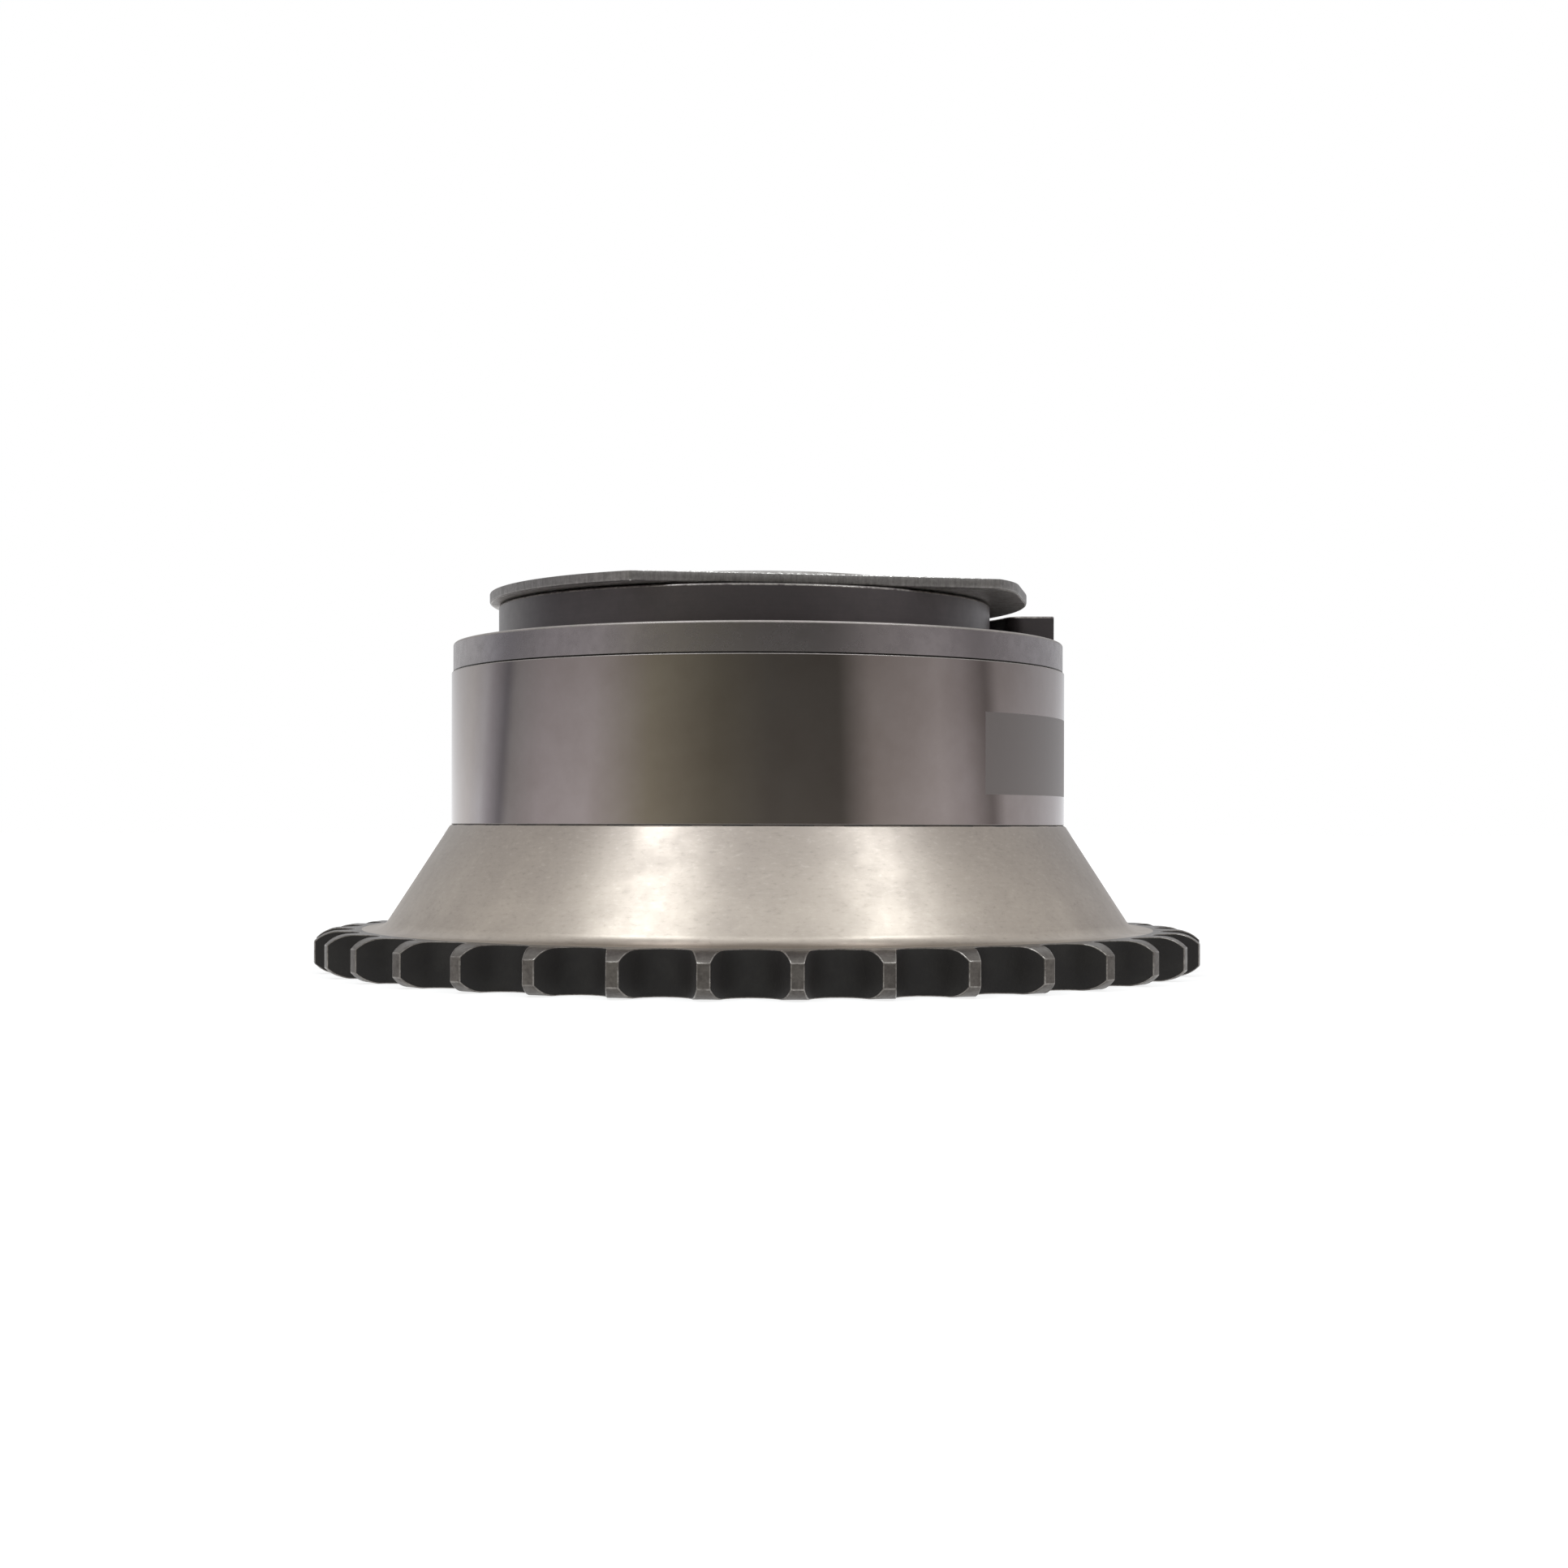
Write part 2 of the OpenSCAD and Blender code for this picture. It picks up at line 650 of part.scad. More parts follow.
// The horn that prolongs the plate's straight side: a round end and its tangent to the plate
module plate_horn() {
    horn_orbit = plate_r + horn_reach - horn_r;
    tangent_deg = horn_deg + acos((plate_r - horn_r) / horn_orbit);
    centre = polar(horn_orbit, horn_deg);
    inner_r = raise_r + raise_h;
    difference() {
        translate([centre[0], centre[1], plate_z]) cylinder(r = horn_r, h = plate_t);
        translate([0, 0, plate_z - eps]) cylinder(r = inner_r, h = plate_t + 2 * eps);
    }
    translate([0, 0, plate_z])
        linear_extrude(plate_t)
            polygon([
                polar(inner_r + raise_h, horn_deg), centre + polar(horn_r, tangent_deg),
                polar(plate_r, tangent_deg), polar(inner_r, tangent_deg)
            ]);
}

module retainer_plate() {
    slope = raise_h / 2;
    color("#6c6a68")
        difference() {
            union() {
                translate([0, 0, plate_z])
                    rotate_extrude()
                        polygon([
                            [lip_r + press_gap, raise_h], [raise_r - plate_t, raise_h],
                            [raise_r - plate_t + slope, 0], [plate_r, 0], [plate_r, plate_t],
                            [raise_r + slope, plate_t], [raise_r, plate_t + raise_h],
                            [lip_r + press_gap, plate_t + raise_h]
                        ]);
                plate_horn();
            }
            rotate(plate_turn - 90)
                translate([plate_flat, -plate_r, plate_z - eps])
                    cube([plate_r, 2 * plate_r, plate_t + raise_h + 2 * eps]);
        }
}

sprocket();
stator();
rotor();
front_cover();
housing_screws();
for (i = [1 : vane_n]) {
    vane_seal(i);
    vane_seal_spring(i);
    lobe_seal(i);
    lobe_seal_spring(i);
}
lock_pin();
lock_spring();
lock_cap();
lock_bush(vane_at(1));  // lock_bush_1
lock_bush(vane_at(1) + travel_deg);  // lock_bush_2
cam_dowel();
stator_dowel();
bias_spring();
spring_post();
spring_arbor();
retainer_plate();
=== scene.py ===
"""Cam phaser with a chain sprocket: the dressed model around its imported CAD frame."""

import json
import math
import random
from functools import partial

import bmesh
import bpy
from bpy.props import FloatProperty, FloatVectorProperty, IntProperty, PointerProperty
from mathutils import Matrix, Vector

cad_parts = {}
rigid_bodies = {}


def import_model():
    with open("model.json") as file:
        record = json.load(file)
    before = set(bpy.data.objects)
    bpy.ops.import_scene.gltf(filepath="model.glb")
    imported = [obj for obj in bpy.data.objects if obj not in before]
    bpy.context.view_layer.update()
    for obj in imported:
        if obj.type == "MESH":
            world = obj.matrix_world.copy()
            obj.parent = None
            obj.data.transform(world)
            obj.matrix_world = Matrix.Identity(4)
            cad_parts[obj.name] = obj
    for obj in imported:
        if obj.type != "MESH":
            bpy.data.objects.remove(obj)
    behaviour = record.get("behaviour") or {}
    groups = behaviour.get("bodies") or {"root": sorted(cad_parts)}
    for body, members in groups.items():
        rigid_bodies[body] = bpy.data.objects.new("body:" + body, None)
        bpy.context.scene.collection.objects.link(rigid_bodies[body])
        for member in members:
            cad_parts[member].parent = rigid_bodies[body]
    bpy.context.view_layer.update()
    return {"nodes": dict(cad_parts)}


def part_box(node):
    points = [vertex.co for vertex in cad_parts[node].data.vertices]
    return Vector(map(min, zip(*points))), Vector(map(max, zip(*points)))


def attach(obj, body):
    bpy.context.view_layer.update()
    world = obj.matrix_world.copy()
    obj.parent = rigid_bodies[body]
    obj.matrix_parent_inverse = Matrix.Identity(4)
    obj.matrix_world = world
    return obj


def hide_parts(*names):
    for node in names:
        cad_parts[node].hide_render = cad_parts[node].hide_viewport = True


for leftover in list(bpy.data.objects):
    bpy.data.objects.remove(leftover)
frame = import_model()

bl_info = {
    "name": "Cam Phaser",
    "version": (1, 0, 0),
    "blender": (4, 5, 0),
    "location": "3D View > Sidebar > Phaser",
    "description": "Builds a cam phaser with its chain sprocket around a packed CAD frame",
    "category": "Object",
}

MM = 0.001
FULL_TURN = 2 * math.pi
# Points closer than this are merged; the finer one is for swept sections
WELD = 0.002 * MM
FINE_WELD = 0.0005 * MM
# Slack for picking edges and faces by their place
NEAR = 0.1 * MM
# Faces that meet at more than this are shaded sharp, and at more than CORNER degrees form a corner
SHARP_TURN = math.radians(38)
CORNER = 40.0
# Facets around full circles: large turned shapes, holes, and what stands around the part
TURNED_STEPS, HOLE_STEPS, STAGE_STEPS = 192, 48, 128
# Number of vanes, of lobes between them and of housing screws
LOBES = 4


# Small helpers for sizes and colours

def linear(code):
    """Turn an sRGB hex value into linear red, green and blue."""
    parts = [int(code[i:i + 2], 16) / 255 for i in (0, 2, 4)]
    return tuple(c / 12.92 if c <= 0.04045 else ((c + 0.055) / 1.055) ** 2.4 for c in parts)


def length(name, size, text):
    """A length property whose default is given in millimetres."""
    return FloatProperty(name=name, description=text, default=size * MM, min=0.0,
                         unit="LENGTH", precision=5)


def angle(name, degrees, text):
    """An angle property whose default is given in degrees."""
    return FloatProperty(name=name, description=text, default=math.radians(degrees), unit="ROTATION")


def colour(name, code, text):
    """A colour property whose default is given as an sRGB hex value."""
    return FloatVectorProperty(name=name, description=text, size=3, subtype="COLOR",
                               min=0.0, max=1.0, default=linear(code))


def foot(node):
    """Lowest height of a CAD node."""
    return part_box(node)[0].z


def top(node):
    """Highest height of a CAD node."""
    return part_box(node)[1].z


class PhaserSizes(bpy.types.PropertyGroup):
    """Sizes that the heights of the frame don't give."""

    teeth: IntProperty(name="Teeth", description="Teeth of the chain sprocket", default=36, min=12)
    chain_pitch: length("Chain pitch", 9.525, "Pitch of the roller chain")
    roller_seat: length("Roller seat", 3.25, "Radius of the seat in each tooth gap")
    flank: angle("Flank", 22, "Flank angle of the teeth from the radial direction")
    tip_rise: length("Tip rise", 1.86, "Height of the tooth tips above the pitch circle")
    tooth_phase: angle("Tooth phase", 4.28, "Turn of the first tooth from +X")
    bevel_height: length("Bevel height", 1.25, "Depth of the rounded tooth bevels along the axis")
    bevel_length: length("Bevel length", 3.0, "Length of the tooth bevels along the radius")
    gap_margin: length("Gap margin", 0.8, "Margin between the tooth gaps and the flat of the ring")
    ring_height: length("Ring height", 5.25, "Thickness of the toothed ring")
    ring_land: length("Ring land", 3.4, "Flat ring between tooth gaps and cone")
    cone_fillet: length("Cone fillet", 2.5, "Fillet at the foot of the cone")
    cone_step: length("Cone step", 0.1, "Step of the cone's upper edge beyond the body")
    web: length("Web", 8.5, "Thickness of the closing web")
    rim_wall: length("Rim wall", 6.0, "Wall between the cone's foot and the hollow")
    hollow_top: length("Hollow top", 38.0, "Radius of the hollow at the web")
    journal_bore: length("Journal bore", 18.05, "Bore in the web for the rotor's journal")
    tooth_round: length("Tooth edge", 0.16, "Rounding of the tooth edges")
    edge_round: length("Edge", 0.3, "Rounding of turned edges")
    body_edge: length("Body edge", 0.12, "Rounding of the body's outer edges")
    seam_edge: length("Seam edge", 0.18, "Rounding of the cover's lower edges")
    lobe_tip: length("Lobe tip", 19.6, "Radius of the body's inner lobes")
    chamber: length("Chamber", 33.0, "Radius of the oil chambers")
    lobe: angle("Lobe", 37.7, "Width of an inner lobe")
    screw_orbit: length("Screw orbit", 31.0, "Distance of the housing screws from the axis")
    screw_hole: length("Screw hole", 2.65, "Radius of the screw holes in the web")
    lock_orbit: length("Lock orbit", 24.4, "Distance of the lock pin from the axis")
    lock_first: angle("Lock place", 32.5, "Angle of the first lock bush")
    lock_travel: angle("Travel", 25, "Travel of the rotor between the lock bushes")
    lock_pocket: length("Lock pocket", 4.71, "Radius of the pockets of the lock bushes")
    lock_vent: length("Lock vent", 0.9, "Radius of the vents under the lock bushes")
    cover_opening: length("Cover opening", 15.55, "Radius of the opening in the front cover")
    strip: length("Strip", 1.6, "Thickness of the spring strip")
    strip_round: length("Strip edge", 0.3, "Rounding of the strip's rolled edges")
    strip_end: length("Strip end", 0.12, "Rounding of the strip's cut ends")
    coil: length("Coil", 36.17, "Outer radius of the spring")
    coil_pitch: length("Coil pitch", 6.81, "Approach of the coil to the axis in its first turn")
    coil_ease: FloatProperty(name="Coil ease", description="Growth of that approach", default=1.2)
    leg_place: angle("Leg", 17, "Place of the spring's leg around the axis")
    leg: length("Leg length", 4.0, "Straight stretch of the leg")
    strip_bend: length("Strip bend", 1.8, "Bend radius of the strip's ends")
    coil_end: length("Coil end", 20.2, "Outer radius of the spring's inmost turn")
    hook_in: length("Hook", 15.9, "Distance of the hook's end from the axis")
    plate_flat: length("Plate flat", 28.0, "Distance of the plate's straight side from the axis")
    plate_turn: angle("Plate turn", 10.5, "Turn of the straight side from the front")
    sheet: length("Sheet", 1.25, "Thickness of the plate's sheet")
    punched_edge: length("Punched edge", 0.3, "Rounding of the plate's lower edge by the punch")
    sheet_edge: length("Sheet edge", 0.08, "Rounding of the plate's other edges")
    raise_radius: length("Raised centre", 22.6, "Radius of the plate's raised centre")
    plate_hole: length("Plate hole", 13.61, "Hole of the plate on the rotor's lip")
    horn: length("Horn", 14.0, "Radius of the horn at the right end of the straight side")
    horn_reach: length("Horn reach", 2.4, "Reach of the horn beyond the plate's round")
    horn_place: angle("Horn place", -38, "Place of the horn around the axis")
    patch_width: angle("Patch width", 50, "Width of the frosted patch on the body")
    patch_place: angle("Patch place", -22.6, "Middle of the frosted patch around the axis")
    patch_foot: length("Patch foot", 22.1, "Lower edge of the frosted patch")
    patch_top: length("Patch top", 31.75, "Upper edge of the frosted patch")


class PhaserFinishes(bpy.types.PropertyGroup):
    """Colours of the finishes."""

    body: colour("Body", "968f8d", "Ground steel of the body")
    body_dim: colour("Body, dim", "8d8582", "Tarnish on the body")
    patch: colour("Patch", "777270", "Frosted patch on the body")
    cone: colour("Cone", "a59c92", "Turned steel of the cone")
    cone_bright: colour("Cone, burnished", "bcb4aa", "Burnished dashes of the cone")
    # Cone, dim: the darker tone of the cone's mottling, and its painted shade towards the top
    cone_dim: colour("Cone, dim", "8a827b", "Dull steel of the cone under the body")
    # Scale and its worn tone also make the painted shade in the seam under the cover
    scale: colour("Scale", "262423", "Hardened scale in the tooth gaps")
    scale_worn: colour("Scale, worn", "2d2b29", "Hardened scale where the chain has polished it")
    tooth: colour("Tooth", "635f5b", "Bevels and tips of the teeth")
    tooth_dim: colour("Tooth, dim", "524e4b", "Darker grains of the teeth")
    edge: colour("Edge", "8a8682", "Bare metal on edges")
    sinter: colour("Sintered", "7d7975", "Steel as it comes from the press")
    sinter_pore: colour("Pores", "4d4a48", "Pores of the sintered steel")
    sized: colour("Sized", "9b9793", "Pressed steel after sizing")
    cover: colour("Cover", "8e898a", "Steel of the front cover")
    cover_stain: colour("Cover, stained", "817c7d", "Oil stains on the cover")
    spring: colour("Spring", "454041", "Blackened spring strip")
    spring_worn: colour("Spring, worn", "4d4748", "Strip where the blackening is thin")
    plate: colour("Plate", "a19f9c", "Rolled face of the plate")
    plate_dim: colour("Plate, dim", "858280", "Rolling marks of the plate")
    shear: colour("Shear", "666462", "Sheared edge of the plate")
    # Burr and ground also make the pale painted reflection on the plate's underside
    burr: colour("Burr", "e2e0dc", "Torn burr of the plate")
    ground: colour("Ground steel", "b4b0aa", "Pins and bushes")
    oxide: colour("Black oxide", "3d3c3e", "Screws")
    wire: colour("Wire", "a8a5a0", "Drawn spring wire")
    plastic: colour("Seal plastic", "3a3633", "Moulded seals")


# Helpers for meshes

def at(radius, height):
    """A rule that sends a point to a radius and a height, at its own angle."""
    def place(point):
        moved = Vector((point.x, point.y, 0.0)).normalized() * radius
        moved.z = height
        return moved
    return place


def polar(radius, turn):
    """A point in the plane from its radius and angle."""
    return Vector((radius * math.cos(turn), radius * math.sin(turn)))


def middle_radius(edge):
    """Distance of an edge's middle from the axis."""
    return ((edge.verts[0].co + edge.verts[1].co) / 2).xy.length


def verts_in(geom):
    """The vertices among the parts that a bmesh operator returns."""
    return [part for part in geom if isinstance(part, bmesh.types.BMVert)]


def draw_outline(bm, points):
    """Draw a closed line through points and return its edges."""
    first = last = bm.verts.new(points[0])
    for point in points[1:]:
        last = bmesh.ops.extrude_vert_indiv(bm, verts=[last])["verts"][0]
        last.co = point
    bm.edges.new((last, first))
    return bm.edges[:]


def repeat_around(bm, count):
    """Repeat a line around the axis, merge where the copies meet and return all edges."""
    bmesh.ops.spin(bm, geom=bm.verts[:] + bm.edges[:], cent=(0, 0, 0), axis=(0, 0, 1),
                   angle=FULL_TURN, steps=count, use_duplicate=True)
    bmesh.ops.remove_doubles(bm, verts=bm.verts[:], dist=WELD)
    return bm.edges[:]


def ring_on(bm, edges, place, slot=0):
    """Extrude a row of edges, send the new row where the rule says and return it."""
    made = bmesh.ops.extrude_edge_only(bm, edges=edges)["geom"]
    fresh = set(verts_in(made))
    for vert in fresh:
        vert.co = place(vert.co)
    for part in made:
        if isinstance(part, bmesh.types.BMFace):
            part.material_index = slot
    return [part for part in made
            if isinstance(part, bmesh.types.BMEdge) and all(v in fresh for v in part.verts)]


def close_shell(bm, gap=WELD):
    """Merge doubles and turn the faces outwards."""
    bmesh.ops.remove_doubles(bm, verts=bm.verts[:], dist=gap)
    bmesh.ops.recalc_face_normals(bm, faces=bm.faces[:])


def round_edges(bm, width, segments=3, pick=None, turn=30.0, slot=None):
    """Round the edges where faces meet at more than turn degrees."""
    sharp = [e for e in bm.edges
             if e.is_manifold and e.calc_face_angle() > math.radians(turn) and (not pick or pick(e))]
    made = bmesh.ops.bevel(bm, geom=sharp, offset=width, offset_type="OFFSET", segments=segments,
                           profile=0.5, affect="EDGES", clamp_overlap=True, material=-1)
    if slot is not None:
        for face in made["faces"]:
            face.material_index = slot


def to_mesh(name, bm, finishes=()):
    """Turn a bmesh into a mesh that wears the finishes."""
    mesh = bpy.data.meshes.new(name)
    bm.to_mesh(mesh)
    bm.free()
    for finish in finishes:
        mesh.materials.append(finish)
    return mesh


def to_object(name, mesh):
    """Put a mesh into the scene, smoothly shaded."""
    mesh.polygons.foreach_set("use_smooth", [True] * len(mesh.polygons))
    thing = bpy.data.objects.new(name, mesh)
    bpy.context.scene.collection.objects.link(thing)
    return thing


def cut_away(mesh, cutter):
    """Take a bmesh of closed cutters away from a mesh and return the new mesh."""
    tool = to_object("cutter", to_mesh("cutter", cutter))
    blank = to_object("blank", mesh)
    holes = blank.modifiers.new("holes", "BOOLEAN")
    holes.operation = "DIFFERENCE"
    holes.solver = "EXACT"
    holes.object = tool
    ready = blank.evaluated_get(bpy.context.evaluated_depsgraph_get())
    result = bpy.data.meshes.new_from_object(ready)
    for thing in (tool, blank):
        bpy.data.objects.remove(thing)
    return result


def make_piece(name, bm, finishes, body, node, cutter=None):
    """Turn a bmesh into a piece that rides on a body and stands for a CAD node."""
    mesh = to_mesh(name, bm, finishes)
    if cutter:
        mesh = cut_away(mesh, cutter)
        mesh.name = name
    piece = to_object(name, mesh)
    mesh.set_sharp_from_angle(angle=SHARP_TURN)
    weights = piece.modifiers.new("face weights", "WEIGHTED_NORMAL")
    weights.keep_sharp = True
    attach(piece, body)
    if node:
        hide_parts(node)


# Helpers for materials

# Sockets of the mix node, whose number and colour sockets share their names
SHARE, FIRST, SECOND = 0, 2, 3
FIRST_TONE, SECOND_TONE, MIXED_TONE = 6, 7, 2


def cells(size):
    """Texture scale that gives features of a size in millimetres."""
    return 1.0 / (size * MM)


def rgba(rgb):
    """A colour with full alpha."""
    return (*rgb, 1.0)


def add_node(tree, kind, inputs=None, **settings):
    """Add a shader node, set it up, fill or link its inputs and return its outputs."""
    made = tree.nodes.new("ShaderNode" + kind)
    for key, value in settings.items():
        setattr(made, key, value)
    for key, value in (inputs or {}).items():
        if isinstance(value, bpy.types.NodeSocket):
            tree.links.new(value, made.inputs[key])
        else:
            made.inputs[key].default_value = value
    return made.outputs


def start_nodes(block):
    """Empty the node tree of a material or a world and return a function that adds nodes to it."""
    block.use_nodes = True
    block.node_tree.nodes.clear()
    return partial(add_node, block.node_tree)


def start_finish(name):
    """Start a material and return it with the function that adds its nodes and its object coordinates."""
    finish = bpy.data.materials.new(name)
    add = start_nodes(finish)
    return finish, add, add("TexCoord")["Object"]


def end_finish(finish, tone, rough, relief, **constants):
    """Add the shader with its colour, roughness, relief and constant sockets and return the material."""
    sockets = {"Base Color": tone, "Roughness": rough, "Normal": relief}
    sockets.update({name.replace("_", " "): value for name, value in constants.items()})
    shader = add_node(finish.node_tree, "BsdfPrincipled", sockets)["BSDF"]
    add_node(finish.node_tree, "OutputMaterial", {"Surface": shader})
    return finish


def ground_steel(tones):
    """Body: fine-ground steel, lightly oiled. Even satin gloss that mirrors the room as soft upright
    bands, with cloudy tarnish, small smudges, fine grain and one frosted patch."""
    sizes = bpy.context.scene.phaser_sizes
    finish, add, where = start_finish("ground_steel")
    tarnish = add("TexNoise", {
        "Vector": where, "Scale": cells(10), "Detail": 3.0, "Roughness": 0.5})["Fac"]
    smudges = add("TexNoise", {
        "Vector": where, "Scale": cells(2.4), "Detail": 6.0, "Roughness": 0.68})["Fac"]
    grain = add("TexNoise", {"Vector": where, "Scale": cells(0.4), "Detail": 2.0})["Fac"]
    both = add("Mix", {SHARE: 0.35, FIRST: tarnish, SECOND: smudges})[0]
    steps = add("MapRange", {"Value": both, "From Min": 0.34, "From Max": 0.64})["Result"]
    metal = add("Mix", {
        SHARE: steps, FIRST_TONE: rgba(tones.body_dim), SECOND_TONE: rgba(tones.body)},
        data_type="RGBA")[MIXED_TONE]
    # The patch is a window in angle and height
    axes = add("SeparateXYZ", {"Vector": where})
    turn = add("Math", {0: axes["Y"], 1: axes["X"]}, operation="ARCTAN2")[0]
    beside = add("Math", {
        0: turn, 1: sizes.patch_place, 2: sizes.patch_width / 2}, operation="COMPARE")[0]
    level = add("Math", {
        0: axes["Z"], 1: (sizes.patch_foot + sizes.patch_top) / 2,
        2: (sizes.patch_top - sizes.patch_foot) / 2}, operation="COMPARE")[0]
    patch = add("Math", {0: beside, 1: level}, operation="MULTIPLY")[0]
    tone = add("Mix", {
        SHARE: patch, FIRST_TONE: metal, SECOND_TONE: rgba(tones.patch)},
        data_type="RGBA")[MIXED_TONE]
    satin = add("MapRange", {
        "Value": both, "From Min": 0.3, "From Max": 0.7,
        "To Min": 0.085, "To Max": 0.055})["Result"]
    rough = add("Mix", {SHARE: patch, FIRST: satin, SECOND: 0.42})[0]
    depth = add("Mix", {SHARE: patch, FIRST: 0.04, SECOND: 0.2})[0]
    relief = add("Bump", {"Strength": depth, "Distance": 0.01 * MM, "Height": grain})["Normal"]
    return end_finish(finish, tone, rough, relief, Metallic=1.0)


def turned_steel(tones):
    """Cone: turned sintered steel. Warm and silky, with broad cloudy mottling from oil, faint feed
    marks around it, and short dark and pale dashes where the tool has smeared open pores."""
    finish, add, where = start_finish("turned_steel")
    clouds = add("TexNoise", {
        "Vector": where, "Scale": cells(8), "Detail": 6.0, "Roughness": 0.68})["Fac"]
    # Feed marks of 0.1 mm are drawn 0.3 mm apart to show
    around = add("Mapping", {"Vector": where, "Scale": (cells(9), cells(9), cells(0.3))})["Vector"]
    marks = add("TexNoise", {"Vector": around, "Scale": 1.0, "Detail": 3.0, "Roughness": 0.6})["Fac"]
    smeared = add("Mapping", {"Vector": where, "Scale": (cells(0.9), cells(0.9), cells(0.35))})["Vector"]
    pores = add("TexNoise", {"Vector": smeared, "Scale": 1.0, "Detail": 3.0, "Roughness": 0.65})["Fac"]
    soft = add("Mix", {SHARE: 0.1, FIRST: clouds, SECOND: marks})[0]
    steps = add("MapRange", {"Value": soft, "From Min": 0.36, "From Max": 0.64, "To Min": 0.55})["Result"]
    # Painted shade: the cone is lighter towards the foot and darker towards the top, under the body
    level = add("SeparateXYZ", {"Vector": where})["Z"]
    rubbed = add("MapRange", {
        "Value": level, "From Min": 9 * MM, "From Max": 17.5 * MM,
        "To Min": 1.0, "To Max": 0.3})["Result"]
    # The painted shade scales the share of the paler tone, so the top turns towards the darker one
    share = add("Math", {0: steps, 1: rubbed}, operation="MULTIPLY")[0]
    metal = add("Mix", {
        SHARE: share, FIRST_TONE: rgba(tones.cone_dim), SECOND_TONE: rgba(tones.cone)},
        data_type="RGBA")[MIXED_TONE]
    open_pore = add("MapRange", {
        "Value": pores, "From Min": 0.56, "From Max": 0.76, "To Max": 0.22})["Result"]
    burnished = add("MapRange", {
        "Value": pores, "From Min": 0.44, "From Max": 0.25, "To Max": 0.25})["Result"]
    speckled = add("Mix", {
        SHARE: open_pore, FIRST_TONE: metal, SECOND_TONE: rgba(tones.sinter_pore)},
        data_type="RGBA")[MIXED_TONE]
    tone = add("Mix", {
        SHARE: burnished, FIRST_TONE: speckled, SECOND_TONE: rgba(tones.cone_bright)},
        data_type="RGBA")[MIXED_TONE]
    rough = add("MapRange", {
        "Value": soft, "From Min": 0.36, "From Max": 0.64,
        "To Min": 0.42, "To Max": 0.35})["Result"]
    # Slight waves, a few millimetres long, break up the outlines of the highlights
    waves = add("TexNoise", {
        "Vector": where, "Scale": cells(2.2), "Detail": 4.0, "Roughness": 0.6})["Fac"]
    swell = add("Bump", {"Strength": 0.4, "Distance": 0.02 * MM, "Height": waves})["Normal"]
    relief = add("Bump", {
        "Strength": 0.1, "Distance": 0.02 * MM, "Height": pores, "Normal": swell})["Normal"]
    return end_finish(finish, tone, rough, relief, Metallic=1.0)


def two_tone(name, dark, pale, coarse, fine, share, steps, rough, bump, fine_relief=True, **constants):
    """A surface in two tones, from a coarse noise with a share of a fine one mixed in.

    coarse and fine: sizes of the features along X, Y and Z in millimetres, detail and roughness.
    steps: where the mix is wholly dark and wholly pale. rough: two values of the mix, and the
    roughness at each. bump: strength and depth in millimetres, from the fine noise or from the mix.
    """
    finish, add, where = start_finish(name)
    noises = []
    for size, detail, roughness in (coarse, fine):
        spread = add("Mapping", {"Vector": where, "Scale": [cells(side) for side in size]})["Vector"]
        noises.append(add("TexNoise", {
            "Vector": spread, "Scale": 1.0, "Detail": detail, "Roughness": roughness})["Fac"])
    both = add("Mix", {SHARE: share, FIRST: noises[0], SECOND: noises[1]})[0]
    paleness = add("MapRange", {"Value": both, "From Min": steps[0], "From Max": steps[1]})["Result"]
    tone = add("Mix", {
        SHARE: paleness, FIRST_TONE: rgba(dark), SECOND_TONE: rgba(pale)},
        data_type="RGBA")[MIXED_TONE]
    gloss = add("MapRange", {
        "Value": both, "From Min": rough[0], "From Max": rough[1],
        "To Min": rough[2], "To Max": rough[3]})["Result"]
    relief = add("Bump", {
        "Strength": bump[0], "Distance": bump[1] * MM,
        "Height": noises[1] if fine_relief else both})["Normal"]
    return end_finish(finish, tone, gloss, relief, **constants)


def hardened_scale(tones):
    """Tooth gaps: induction-hardened and left with its dark oxide skin. Even, nearly black, with a low
    sheen and a trace of polish from the rollers."""
    return two_tone("hardened_scale", tones.scale, tones.scale_worn, coarse=((2.5, 2.5, 2.5), 4.0, 0.6),
                    fine=((0.35, 0.35, 0.35), 2.0, 0.5), share=0.0, steps=(0.45, 0.75),
                    rough=(0.3, 0.7, 0.6, 0.5), bump=(0.4, 0.03), Specular_IOR_Level=0.3)


def sheared_edge(tones):
    """Cut edge of stamped sheet: upright drag lines from the die over a torn, matt lower part."""
    return two_tone("sheared_edge", tones.shear, tones.plate_dim, coarse=((0.3, 0.3, 3), 4.0, 0.65),
                    fine=((0.6, 0.6, 0.6), 4.0, 0.7), share=0.5, steps=(0.36, 0.64),
                    rough=(0.3, 0.7, 0.55, 0.36), bump=(0.5, 0.05), fine_relief=False, Metallic=1.0)


def blackened_strip(tones):
    """Spring: rolled strip with a black heat-treatment skin. Dark satin with rolling streaks along it
    and paler rubbed spots."""
    return two_tone("blackened_strip", tones.spring, tones.spring_worn, coarse=((8, 8, 0.35), 4.0, 0.6),
                    fine=((2.2, 2.2, 2.2), 5.0, 0.65), share=0.75, steps=(0.4, 0.7),
                    rough=(0.3, 0.7, 0.38, 0.31), bump=(0.12, 0.01), fine_relief=False, Metallic=0.4)


